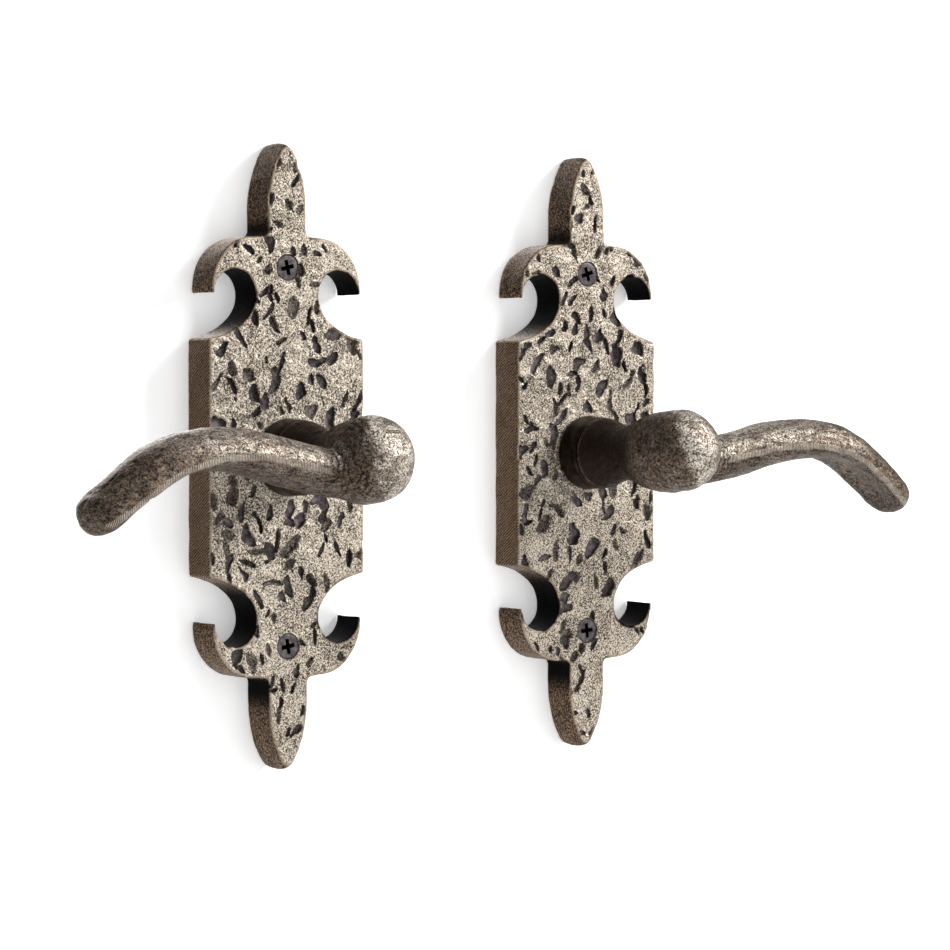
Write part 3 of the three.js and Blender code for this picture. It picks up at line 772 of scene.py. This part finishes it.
def lever(side, seed):
    sign = SIDES[side]
    obj = lever_solid()
    cast_skin(obj)
    shape_lever(obj, seed, sign)
    v = shift_casting(vertices_of(obj), side)
    v[:, 0] *= sign
    set_vertices(obj, v)
    if sign < 0:
        obj.data.flip_normals()
    obj.name = f"{side}_lever_casting"
    obj.data.polygons.foreach_set("use_smooth", [True] * len(obj.data.polygons))
    return moved(obj, sign * SPINDLE_X)


# how much higher than the CAD each lever is cast, near the ball and at the blade's crest
CAST_RISE = {"left": (-0.7, 0.0), "right": (0.9, 0.9)}


def shift_casting(v, side):
    """Each casting differs a little: moves the ball and the blade's root up or down."""
    near_ball = smooth((-THICKNESS - 18 - v[:, 1]) / 14) * smooth((62 - v[:, 0]) / 40)
    crest = smooth((v[:, 0] - 30) / 25) * smooth((100 - v[:, 0]) / 30)
    root_rise, crest_rise = CAST_RISE[side]
    v[:, 2] += near_ball * root_rise + crest * crest_rise
    return v


def roughened(v, n, free, seed):
    """The lever's points with casting unevenness, hammered facets, grit and pits."""
    lumps = 0.36 * layered_noise(v, 10.0, seed, 2)
    facets = 0.18 * noise(v * (0.5, 1.0, 1.4), 3.2, seed + 11)
    grit = 0.06 * noise(v, 1.1, seed + 17)
    pits = -0.35 * smooth((layered_noise(v * (0.5, 1, 1), 2.4, seed + 23, 2) - 0.5) / 0.3)
    return v + n * ((lumps + facets + grit + pits - 0.12) * free)[:, None]


def blade_place(x, out, z):
    """Where each point lies on the blade: from -1 at its back edge to 1 at its front edge, and
    how high above its edges' line."""
    path = spline(BLADE, 240)
    at = np.clip(np.searchsorted(path[:, 0], x), 0, len(path) - 1)
    forward = (out - path[at, 1]) / path[at, 3]
    slope = np.gradient(path[:, 2], path[:, 0])[at]
    height = (z - path[at, 2]) / np.sqrt(1 + slope**2) + path[at, 5]
    return forward, height


def ball_wear_and_highlight(x, out, z, n, sign, v, seed):
    """How much each point is on the ball and lightened: a little wear all over it, and a painted
    highlight on the side that faces right, forward and up, towards the key light.
    """
    ball_x, ball_out, ball_z = BALL_CENTRE
    distance = np.sqrt((x - ball_x) ** 2 + (out - ball_out) ** 2 + (z - ball_z) ** 2)
    on_ball = smooth((BALL_RADIUS + 3.0 - distance) / 1.5) * (1 - smooth((x - 17) / 4))
    # painted highlight: strongest where the surface faces the key light
    facing = 0.72 * n[:, 0] * sign - 0.62 * n[:, 1] + 0.30 * n[:, 2]
    facing = facing + 0.16 * layered_noise(v, 4.0, seed + 41)
    rub_and_highlight = on_ball * (0.10 + 0.90 * smooth((facing - 0.02) / 0.25))
    return rub_and_highlight * (1 - smooth((x - 5) / 12))


def shape_lever(obj, seed, sign):
    """Roughens the lever and sets the masks that its material reads."""
    plain = vertices_of(obj)
    n = normals_on(obj)
    x = plain[:, 0]
    out = -THICKNESS - plain[:, 1]
    free = smooth((out - FREE_OUT - 0.1) / 1.5)
    v = roughened(plain, n, free, seed)
    forward, height = blade_place(x, out, v[:, 2])
    wander = 0.35 * noise(v, 6.0, seed + 29)
    broken = 0.55 + 0.45 * smooth(0.5 + 1.2 * noise(v, 2.2, seed + 37))
    ridge = smooth((1.25 - np.abs(height + wander)) / 0.5) * smooth((forward - 0.7) / 0.15)
    rub_and_highlight = ball_wear_and_highlight(x, out, v[:, 2], n, sign, v, seed)
    on_blade = smooth((x - 13) / 6)
    # painted highlight on the blade's top, and painted shade on its underside
    top = on_blade * smooth((height - 0.6) / 1.5) * smooth((104 - x) / 50)
    below = on_blade * smooth((-height - 1.0) / 0.8)
    joint = smooth((x - 3) / 6) * smooth((26 - x) / 8) * smooth((out - 44) / 6)
    masks = {
        "ridge": ridge * smooth((x - 19) / 5) * broken,
        "rub_and_highlight": np.clip(rub_and_highlight + 0.62 * top + 0.10 * below, 0, 1),
        "under": below * (0.55 + 0.45 * smooth((x - 55) / 20)),
        # painted shade: the neck between the plate and the ball
        "neck": free * smooth((46 - out) / 8) * (1 - on_blade),
        "joint": joint * (1 - 0.8 * rub_and_highlight),
    }
    for name, values in masks.items():
        set_attribute(obj, name, values)
    set_vertices(obj, v)


# ---- small fittings -------------------------------------------------------------------------


def box_mesh(name, low, high):
    corners = list(itertools.product((0, 1), repeat=3))
    v = [[(low, high)[c[k]][k] for k in range(3)] for c in corners]
    faces = [(0, 1, 3, 2), (4, 6, 7, 5), (0, 4, 5, 1), (2, 3, 7, 6), (0, 2, 6, 4), (1, 5, 7, 3)]
    return make_object(name, np.array(v, float), faces, smooth_shading=False)


def turn_down(obj, y):
    """Turns a piece made along +Y so that it points down -Z from the neck's axis at y."""
    v = vertices_of(obj)
    set_vertices(obj, np.column_stack([v[:, 0], y + v[:, 2], -v[:, 1]]))


def moved(obj, dx, dz=0.0):
    set_vertices(obj, vertices_of(obj) + (dx, 0, dz))
    return obj


def bearing_bush(side):
    nose = -THICKNESS - 9.5
    back = -THICKNESS - 0.3
    bore, barrel, barrel_end = 9.06, 11.2, -11.0
    profile = [
        (bore, nose + 0.4), (9.4, nose), (13.1, nose), (13.5, nose + 0.15), (13.7, nose + 0.6),
        (13.8, nose + 3.2), (14.0, back - 1.2), (14.2, back - 0.4), (14.1, back),
        (barrel, back), (barrel, barrel_end), (bore, barrel_end), (bore, nose + 0.4),
    ]
    obj = turned(f"{side}_hub_bush", profile[::-1], 112)
    sharpen(obj, 40)
    return moved(obj, SIDES[side] * SPINDLE_X)


# painted shade: the screw's cross recess is painted black from this depth on
RECESS_LIP = 0.12


def cross_cutter(y_face, depth, turn_deg, reach, width):
    """Two tapered crossed wedges, the recess of a cross-head screw."""
    wedges = []
    for half_x, half_z in ((reach, width / 2), (width / 2, reach)):
        low_x = half_x * (0.55 if half_x == reach else 0.75)
        low_z = half_z * (0.55 if half_z == reach else 0.75)
        rows = [
            (y_face - 1.0, half_x, half_z),
            (y_face + RECESS_LIP, half_x, half_z),
            (y_face + depth, low_x, low_z),
        ]
        v = [(a * i, y, b * j) for y, a, b in rows for i, j in SQUARE]
        faces = [(3, 2, 1, 0), (8, 9, 10, 11)] + bridge(0, 4, 4) + bridge(4, 8, 4)
        wedges.append(make_object("wedge", np.array(v, float), faces, smooth_shading=False))
    cross, second = wedges
    combine(cross, second, "UNION")
    v = vertices_of(cross)
    c, s = math.cos(math.radians(turn_deg)), math.sin(math.radians(turn_deg))
    x = v[:, 0] * c - v[:, 2] * s
    z = v[:, 0] * s + v[:, 2] * c
    set_vertices(cross, np.column_stack([x, v[:, 1], z]))
    return cross


def threaded_rows(y0, y1, root, crest, pitch, tip_from, sides):
    """Rings of a screw's shank with a real helical thread, closing to a point past tip_from."""
    rings = []
    angle = np.linspace(0, 2 * math.pi, sides, endpoint=False)
    for y in np.arange(y0, y1, pitch / 8):
        phase = (y / pitch + angle / (2 * math.pi)) % 1.0
        tooth = np.clip(1 - np.abs(phase - 0.5) / 0.22, 0, 1)
        run_in = np.clip((y - y0) / (pitch * 1.5), 0, 1)
        taper = 1 - np.clip((y - tip_from) / (y1 - tip_from), 0, 1) ** 1.3
        radius = (root + (crest - root) * tooth * run_in) * taper + 0.05
        x, z = radius * np.cos(angle), radius * np.sin(angle)
        rings.append(np.column_stack([x, np.full(sides, y), z]))
    return rings


def mounting_screw(side, where, turn_deg):
    """A countersunk wood screw with a cross recess, a plain neck and a cut thread."""
    low, high = node_box(f"{side}_mounting_screw_{where}")
    face, tip = low[1], high[1]
    sides = 40
    head = [(3.9, face), (4.35, face + 0.08), (4.6, face + 0.3), (4.5, face + 0.5)]
    head += [(2.4, face + 2.7), (2.4, face + 9.0), (2.1, face + 9.4)]
    rings = [ring_points(r, y, sides) for r, y in head]
    rings += threaded_rows(
        face + 9.6, tip - 0.1, root=1.7, crest=2.4, pitch=2.0, tip_from=tip - 7.0, sides=sides
    )
    obj = loft(f"{side}_screw_{where}", rings, flip=True)
    combine(obj, cross_cutter(face, 1.7, turn_deg, reach=2.8, width=1.55), "DIFFERENCE")
    v = vertices_of(obj)
    # painted shade inside the cross recess
    deep = (v[:, 1] > face + RECESS_LIP / 2) & (v[:, 1] < face + 2.0)
    set_attribute(obj, "recess", deep & (np.hypot(v[:, 0], v[:, 2]) < 3.2))
    sharpen(obj, 35)
    return moved(obj, (low[0] + high[0]) / 2, (low[2] + high[2]) / 2)


def cover_screw(side, number):
    low, high = node_box(f"{side}_cover_screw_{number}")
    face, tip = high[1], low[1]
    head = [(2.35, face), (2.55, face - 0.12), (2.6, face - 0.3), (1.2, face - 1.6)]
    obj = turned(f"{side}_cover_fixing_{number}", head + [(1.2, tip + 0.4), (0.9, tip)], 32)
    cutter = cross_cutter(0.0, 0.9, 12.0 + 31 * number, reach=1.45, width=0.65)
    v = vertices_of(cutter)
    set_vertices(cutter, np.column_stack([v[:, 0], face - v[:, 1], v[:, 2]]))
    cutter.data.flip_normals()
    combine(obj, cutter, "DIFFERENCE")
    sharpen(obj, 35)
    return moved(obj, (low[0] + high[0]) / 2, (low[2] + high[2]) / 2)


COVER_OUTER, COVER_INNER = 29.7, 8.1
COVER_SCREW_CIRCLE = 27.0


def cover_plate(side):
    """The pressed steel cover, with rounded rims and countersunk screw holes."""
    low, high = node_box(f"{side}_cover_plate")
    front, back = low[1], high[1]
    outer, inner = COVER_OUTER, COVER_INNER
    profile = [
        (inner, front + 0.2), (inner + 0.2, front), (outer - 0.2, front), (outer, front + 0.2),
        (outer, back - 0.35), (outer - 0.35, back), (inner + 0.35, back), (inner, back - 0.35),
        (inner, front + 0.2),
    ]
    obj = turned(f"{side}_pocket_cover", profile[::-1], 128)
    countersink = [(3.1, back + 0.1), (3.0, back), (1.5, back - 1.6), (1.5, front - 1)]
    for deg in (45, 135, 225, 315):
        hole = turned("hole", countersink, 32)
        a = math.radians(deg)
        moved(hole, COVER_SCREW_CIRCLE * math.cos(a), COVER_SCREW_CIRCLE * math.sin(a))
        combine(obj, hole, "DIFFERENCE")
    sharpen(obj, 35)
    return moved(obj, SIDES[side] * SPINDLE_X)


def spindle(side):
    """The square bar, with its long edges and ends rounded."""
    low, high = node_box(f"{side}_spindle")
    obj = box_mesh(f"{side}_square_spindle", low, high)
    bevel = obj.modifiers.new("edges", "BEVEL")
    bevel.width = 0.45 * MM
    bevel.segments = 3
    bevel.limit_method = "ANGLE"
    bevel.angle_limit = math.radians(40)
    apply_modifiers(obj)
    sharpen(obj, 35)
    return obj


# ---- materials ------------------------------------------------------------------------------


class Nodes:
    """A short hand for building a material's node tree around one Principled shader."""

    def __init__(self, name):
        self.material = bpy.data.materials.new(name)
        self.material.use_nodes = True
        self.tree = self.material.node_tree
        self.tree.nodes.clear()
        self.output = self.tree.nodes.new("ShaderNodeOutputMaterial")
        self.shader = self.tree.nodes.new("ShaderNodeBsdfPrincipled")
        self.link(self.shader.outputs[0], self.output.inputs[0])
        self.place = self.tree.nodes.new("ShaderNodeTexCoord").outputs["Object"]

    def link(self, source, target):
        self.tree.links.new(source, target)
        return source

    def new(self, kind, inputs=None, **settings):
        node = self.tree.nodes.new(kind)
        for key, value in settings.items():
            setattr(node, key, value)
        for key, value in (inputs or {}).items():
            if isinstance(value, bpy.types.NodeSocket):
                self.link(value, node.inputs[key])
            else:
                node.inputs[key].default_value = value
        return node

    def attribute(self, name):
        return self.new("ShaderNodeAttribute", attribute_name=name).outputs["Fac"]

    def noise(self, scale, detail=3.0, roughness=0.55, distortion=0.0, place=None):
        inputs = {"Vector": place or self.place, "Scale": scale, "Detail": detail}
        inputs.update({"Roughness": roughness, "Distortion": distortion})
        return self.new("ShaderNodeTexNoise", inputs).outputs["Fac"]

    def stretched(self, x, y, z, rotation=(0, 0, 0)):
        inputs = {"Vector": self.place, "Scale": (x, y, z), "Rotation": rotation}
        return self.new("ShaderNodeMapping", inputs).outputs[0]

    def range(self, value, low, high, to_low=0.0, to_high=1.0):
        inputs = {"Value": value, "From Min": low, "From Max": high}
        inputs.update({"To Min": to_low, "To Max": to_high})
        return self.new("ShaderNodeMapRange", inputs).outputs[0]

    def math(self, operation, a, b=0.0, clamp=False):
        node = self.new("ShaderNodeMath", {0: a, 1: b}, operation=operation, use_clamp=clamp)
        return node.outputs[0]

    def bands(self, scale, distortion, detail, detail_scale, axis, place=None):
        inputs = {"Vector": place or self.place, "Scale": scale, "Distortion": distortion}
        inputs.update({"Detail": detail, "Detail Scale": detail_scale})
        return self.new("ShaderNodeTexWave", inputs, bands_direction=axis).outputs["Fac"]

    def mix(self, share, a, b):
        node = self.tree.nodes.new("ShaderNodeMix")
        node.data_type = "RGBA"
        for socket, value in zip((node.inputs[0], node.inputs[6], node.inputs[7]), (share, a, b)):
            if isinstance(value, bpy.types.NodeSocket):
                self.link(value, socket)
            else:
                socket.default_value = value
        return node.outputs[2]

    def bump(self, height, strength, distance, normal=None):
        inputs = {"Height": height, "Strength": strength, "Distance": distance}
        if normal is not None:
            inputs["Normal"] = normal
        return self.new("ShaderNodeBump", inputs).outputs[0]

    def finish(self, colour, roughness, normal=None, metallic=1.0):
        self.link(colour, self.shader.inputs["Base Color"])
        self.link(roughness, self.shader.inputs["Roughness"])
        if normal is not None:
            self.link(normal, self.shader.inputs["Normal"])
        self.shader.inputs["Metallic"].default_value = metallic
        return self.material


def rgb(red, green, blue):
    return (red, green, blue, 1.0)


def cast_plate_material():
    """Rubbed white bronze: pale salt-and-pepper grain on the face, dark floors in the dents with
    painted shade along their walls, brown patina on the sides, and painted shade that turns the
    sides black in the notches and on the lower lances under the arms."""
    m = Nodes("cast_plate")
    dent, side, recess = m.attribute("dent"), m.attribute("side"), m.attribute("recess")
    edge = m.attribute("edge")
    tilted = m.stretched(1, 1, 1, (0.7, 0.5, 0.9))
    grain = m.noise(1650, 2.0, 0.6, place=tilted)
    fine = m.noise(3500, 1.0, 0.5, place=tilted)
    broad = m.noise(110, 3.0, place=tilted)
    mixed = m.math("ADD", m.math("MULTIPLY", grain, 0.65), m.math("MULTIPLY", fine, 0.35))
    shifted = m.math("ADD", mixed, m.range(broad, 0.3, 0.7, -0.035, 0.035))
    speck = m.range(shifted, 0.44, 0.57)
    face = m.mix(speck, rgb(0.055, 0.038, 0.026), rgb(0.66, 0.585, 0.485))
    streak = m.noise(420, 2.0, 0.5, place=tilted)
    floor = m.mix(m.range(streak, 0.4, 0.7), rgb(0.075, 0.060, 0.064), rgb(0.235, 0.200, 0.208))
    colour = m.mix(dent, face, floor)
    # painted shade: the dents' sloping walls are darkened into dark outlines
    wall = m.math("MULTIPLY", m.math("MULTIPLY", dent, m.math("SUBTRACT", 1.0, dent)), 4.0)
    colour = m.mix(m.math("MULTIPLY", wall, 0.8), colour, rgb(0.020, 0.014, 0.012))
    leaning = m.stretched(1, 1, 1, (math.radians(35), 0, 0))
    hatch = m.bands(330.0, 3.0, 2.0, 2.0, "Z", leaning)
    coarse = m.noise(1500, 2.0, 0.7, place=tilted)
    brown = m.mix(m.range(coarse, 0.48, 0.57), rgb(0.002, 0.001, 0.001), rgb(0.290, 0.178, 0.100))
    height = m.new("ShaderNodeSeparateXYZ", {0: m.place}).outputs["Z"]
    on_body = m.math("LESS_THAN", m.math("ABSOLUTE", height), BODY_HALF_HEIGHT * MM)
    filed = m.mix(m.range(hatch, 0.42, 0.70), rgb(0.002, 0.001, 0.001), rgb(0.340, 0.212, 0.122))
    filed = m.mix(0.25, filed, brown)
    brown = m.mix(m.math("MULTIPLY", on_body, 0.85), brown, filed)
    colour = m.mix(side, colour, brown)
    colour = m.mix(m.math("MULTIPLY", edge, 0.6), colour, rgb(0.42, 0.34, 0.26))
    # painted shade: the sides turn nearly black in the notches and under the arms
    dark = m.math("MULTIPLY", m.range(recess, 0.25, 0.95), side)
    colour = m.mix(dark, colour, rgb(0.004, 0.003, 0.003))
    rough = m.range(grain, 0.35, 0.7, 0.66, 0.46)
    rough = m.math("ADD", rough, m.math("MULTIPLY", dent, 0.12))
    rough = m.math("ADD", rough, m.math("MULTIPLY", dark, 0.5), clamp=True)
    cuts = m.math("MULTIPLY", m.math("MULTIPLY", hatch, side), on_body)
    relief = m.math("ADD", mixed, m.math("MULTIPLY", cuts, 0.8))
    normal = m.bump(relief, 0.8, 0.00035)
    return m.finish(colour, rough, normal, 0.85)


def cast_lever_material():
    """Dark brown patina, mottled, worn pale in patches and along the filed ridge, with a painted
    highlight on the ball's side towards the key light and on the blade's top, and painted shade on
    the blade's underside and on the neck.
    """
    m = Nodes("cast_lever")
    ridge, rub_and_highlight = m.attribute("ridge"), m.attribute("rub_and_highlight")
    under, neck = m.attribute("under"), m.attribute("neck")
    tilted = m.stretched(1, 1, 1, (0.4, 0.8, 0.3))
    grain = m.noise(1450, 2.0, 0.6, place=tilted)
    fine = m.noise(3000, 1.0, 0.5, place=tilted)
    mixed = m.math("ADD", m.math("MULTIPLY", grain, 0.65), m.math("MULTIPLY", fine, 0.35))
    blotch = m.noise(240, 4.0, 0.62, 0.8, place=m.stretched(0.55, 1, 1))
    large = m.noise(75, 3.0, 0.5, place=tilted)
    streaks = m.noise(950, 3.0, 0.65, 0.4, place=m.stretched(0.28, 1, 1))
    tone = m.math("ADD", m.math("MULTIPLY", streaks, 0.6), m.math("MULTIPLY", mixed, 0.4))
    base = m.mix(m.range(tone, 0.43, 0.59), rgb(0.006, 0.004, 0.003), rgb(0.172, 0.116, 0.078))
    speck = m.mix(m.range(mixed, 0.42, 0.57), rgb(0.080, 0.060, 0.046), rgb(0.70, 0.63, 0.54))
    patch = m.range(blotch, 0.45, 0.54)
    # painted highlight on the ball's lit side and the blade's top, with patches of wear at random
    wear_and_highlight = m.math("ADD", rub_and_highlight, m.range(large, 0.42, 0.62, 0.0, 0.20))
    worn_through = m.math("ADD", m.math("MULTIPLY", patch, 0.65), 0.35)
    wear_and_highlight = m.math("MULTIPLY", wear_and_highlight, worn_through, clamp=True)
    colour = m.mix(wear_and_highlight, base, speck)
    marks = m.bands(480.0, 1.5, 2.0, 3.0, "X")
    filed = m.mix(m.range(marks, 0.25, 0.75), rgb(0.14, 0.11, 0.08), rgb(0.66, 0.60, 0.51))
    colour = m.mix(m.math("MULTIPLY", ridge, 0.85), colour, filed)
    # painted shade: the blade's underside is darkened
    shade = m.mix(m.range(tone, 0.43, 0.59), rgb(0.007, 0.005, 0.004), rgb(0.132, 0.098, 0.080))
    colour = m.mix(m.math("MULTIPLY", under, 0.8), colour, shade)
    strokes = m.bands(150.0, 5.0, 3.0, 2.5, "X")
    strokes = m.math("MULTIPLY", m.range(strokes, 0.62, 0.8), m.attribute("joint"))
    strokes = m.math("MULTIPLY", strokes, m.range(blotch, 0.45, 0.55))
    colour = m.mix(m.math("MULTIPLY", strokes, 0.85), colour, rgb(0.016, 0.010, 0.008))
    # painted shade: the neck by the plate is painted nearly black
    colour = m.mix(m.math("MULTIPLY", neck, 0.92), colour, rgb(0.018, 0.011, 0.008))
    rough = m.range(grain, 0.35, 0.7, 0.60, 0.42)
    height = m.math("ADD", mixed, m.math("MULTIPLY", m.math("MULTIPLY", marks, ridge), 1.2))
    height = m.math("SUBTRACT", height, m.math("MULTIPLY", strokes, 1.5))
    normal = m.bump(height, 0.7, 0.00030, m.bump(blotch, 0.8, 0.0009))
    return m.finish(colour, rough, normal, 0.9)


def dark_bush_material():
    m = Nodes("dark_bush")
    rings = m.noise(260, 2.0, place=m.stretched(0.15, 6.0, 0.15))
    tarnish = m.noise(300, 3.0)
    # painted shade: the bush is coloured nearly black for the shade between the plate and the lever,
    # mottled by its own tarnish
    colour = m.mix(m.range(tarnish, 0.4, 0.7), rgb(0.012, 0.008, 0.006), rgb(0.05, 0.035, 0.025))
    normal = m.bump(rings, 0.3, 0.0001)
    return m.finish(colour, m.range(tarnish, 0.3, 0.7, 0.35, 0.5), normal, 0.9)


def dark_screw_material():
    m = Nodes("dark_screw")
    grain = m.noise(1500, 2.0)
    stain = m.noise(500, 3.0)
    colour = m.mix(m.range(stain, 0.35, 0.7), rgb(0.06, 0.05, 0.052), rgb(0.17, 0.15, 0.152))
    # painted shade: the cross recess is painted nearly black
    recess = m.attribute("recess")
    colour = m.mix(recess, colour, rgb(0.003, 0.002, 0.002))
    rough = m.math("ADD", m.range(grain, 0.3, 0.7, 0.42, 0.6), recess, clamp=True)
    return m.finish(colour, rough, m.bump(grain, 0.25, 0.0001), 0.9)


def machined_material(name, dark, bright):
    m = Nodes(name)
    lines = m.noise(900, 2.0, place=m.stretched(0.08, 1.0, 0.08))
    stain = m.noise(90, 4.0)
    colour = m.mix(m.range(lines, 0.35, 0.65), dark, bright)
    colour = m.mix(m.range(stain, 0.5, 0.8, 0.0, 0.5), colour, rgb(0.22, 0.18, 0.14))
    return m.finish(colour, m.range(stain, 0.3, 0.7, 0.28, 0.46), m.bump(lines, 0.2, 0.00006), 1.0)


# ---- pieces ---------------------------------------------------------------------------------


def paint(obj, material):
    obj.data.materials.clear()
    obj.data.materials.append(material)


def put_on(obj, material, body, node):
    """Paints a piece, fixes it to its body and lets it stand for a CAD node."""
    paint(obj, material)
    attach(obj, body)
    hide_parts(node)


PLATE = cast_plate_material()
LEVER = cast_lever_material()
BUSH = dark_bush_material()
SCREW = dark_screw_material()
STEEL = machined_material("machined_steel", rgb(0.36, 0.36, 0.35), rgb(0.62, 0.62, 0.60))
SPRING = machined_material("blued_spring", rgb(0.08, 0.10, 0.14), rgb(0.22, 0.25, 0.30))

SCREW_TURNS = {
    ("left", "top"): 14, ("left", "bottom"): 10, ("right", "top"): 18, ("right", "bottom"): 6,
}
SEEDS = {"left": 11, "right": 47}

# small pieces that stay as the CAD made them
KEPT = {
    "grub_screw": SCREW,
    "thrust_washer": STEEL,
    "retaining_ring": SPRING,
    "spring_hub": STEEL,
    "return_spring": SPRING,
    "stop_pin_rest": STEEL,
    "stop_pin_turned": STEEL,
}

for side in SIDES:
    moving = f"{side}_lever"
    put_on(backplate(side, SEEDS[side]), PLATE, "plates", f"{side}_backplate")
    put_on(lever(side, SEEDS[side] + 5), LEVER, moving, f"{side}_lever")
    put_on(bearing_bush(side), BUSH, "plates", f"{side}_bearing_bush")
    put_on(spindle(side), STEEL, moving, f"{side}_spindle")
    put_on(cover_plate(side), STEEL, "plates", f"{side}_cover_plate")
    for where in ("top", "bottom"):
        screw = mounting_screw(side, where, SCREW_TURNS[side, where])
        put_on(screw, SCREW, "plates", f"{side}_mounting_screw_{where}")
    for number in range(1, 5):
        screw = cover_screw(side, number)
        put_on(screw, SCREW, "plates", f"{side}_cover_screw_{number}")
    for name, material in KEPT.items():
        paint(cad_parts[f"{side}_{name}"], material)

# ---- stage, light and camera ----------------------------------------------------------------

# metres
WALL_Y = 0.0004
FLOOR_Z = -0.30
STAGE_SIZE = 3.0
WORLD_LIGHT = 0.26


def pale_material(name, colour, glow, one_sided):
    """A matt pale surface with a little light of its own; one-sided, it isn't seen from behind."""
    material = bpy.data.materials.new(name)
    material.use_nodes = True
    tree = material.node_tree
    shader = tree.nodes["Principled BSDF"]
    shader.inputs["Base Color"].default_value = colour
    shader.inputs["Roughness"].default_value = 0.9
    shader.inputs["Specular IOR Level"].default_value = 0.0
    shader.inputs["Emission Color"].default_value = rgb(1, 1, 1)
    shader.inputs["Emission Strength"].default_value = glow
    if one_sided:
        see_through = tree.nodes.new("ShaderNodeBsdfTransparent")
        facing = tree.nodes.new("ShaderNodeNewGeometry")
        mix = tree.nodes.new("ShaderNodeMixShader")
        tree.links.new(facing.outputs["Backfacing"], mix.inputs[0])
        tree.links.new(shader.outputs[0], mix.inputs[1])
        tree.links.new(see_through.outputs[0], mix.inputs[2])
        tree.links.new(mix.outputs[0], tree.nodes["Material Output"].inputs[0])
    return material


def stage_sheet(name, corners, material):
    mesh = bpy.data.meshes.new(name)
    mesh.from_pydata(corners, [], [(0, 1, 2, 3)])
    mesh.materials.append(material)
    obj = bpy.data.objects.new(name, mesh)
    bpy.context.scene.collection.objects.link(obj)
    return obj


def area_light(name, place, size, power):
    """A soft light that points at the origin."""
    light = bpy.data.lights.new(name, "AREA")
    light.shape = "RECTANGLE"
    light.size, light.size_y = size
    light.energy = power
    obj = bpy.data.objects.new(name, light)
    bpy.context.scene.collection.objects.link(obj)
    obj.location = place
    obj.rotation_euler = (-Vector(place)).to_track_quat("-Z", "Y").to_euler()


wall = stage_sheet(
    "wall",
    [(a * STAGE_SIZE, WALL_Y, b * STAGE_SIZE) for a, b in SQUARE],
    pale_material("pale_wall", rgb(0.96, 0.96, 0.96), 0.28, True),
)
wall.visible_shadow = False
wall.visible_diffuse = False
wall.visible_glossy = False
stage_sheet(
    "floor",
    [(a * STAGE_SIZE, b * STAGE_SIZE, FLOOR_Z) for a, b in SQUARE],
    pale_material("pale_floor", rgb(0.85, 0.85, 0.85), 0.15, False),
)

area_light("key", (1.75, -1.1, 1.15), (0.8, 0.8), 50)
area_light("front", (0.3, -2.4, 0.5), (1.6, 1.6), 11)
area_light("top", (0.2, -0.6, 2.0), (1.6, 1.0), 14)
area_light("back", (0.6, 2.2, 1.0), (1.8, 1.8), 50)

world = bpy.data.worlds.new("studio")
world.use_nodes = True
world.node_tree.nodes["Background"].inputs[0].default_value = rgb(1, 1, 1)
world.node_tree.nodes["Background"].inputs[1].default_value = WORLD_LIGHT
bpy.context.scene.world = world

CAMERA_PLACE = (-0.7614, -1.0810, 0.0286)
CAMERA_AZIMUTH = 36.06
CAMERA_TILT = 1.58
SENSOR = 36.0
LENS = 132.6

camera_data = bpy.data.cameras.new("camera")
camera_data.sensor_width = SENSOR
camera_data.lens = LENS
camera_data.clip_start = 0.01
camera = bpy.data.objects.new("camera", camera_data)
bpy.context.scene.collection.objects.link(camera)
camera.location = CAMERA_PLACE
camera.rotation_euler = (math.radians(90 - CAMERA_TILT), 0.0, -math.radians(CAMERA_AZIMUTH))
bpy.context.scene.camera = camera
bpy.context.scene.view_settings.view_transform = "Standard"
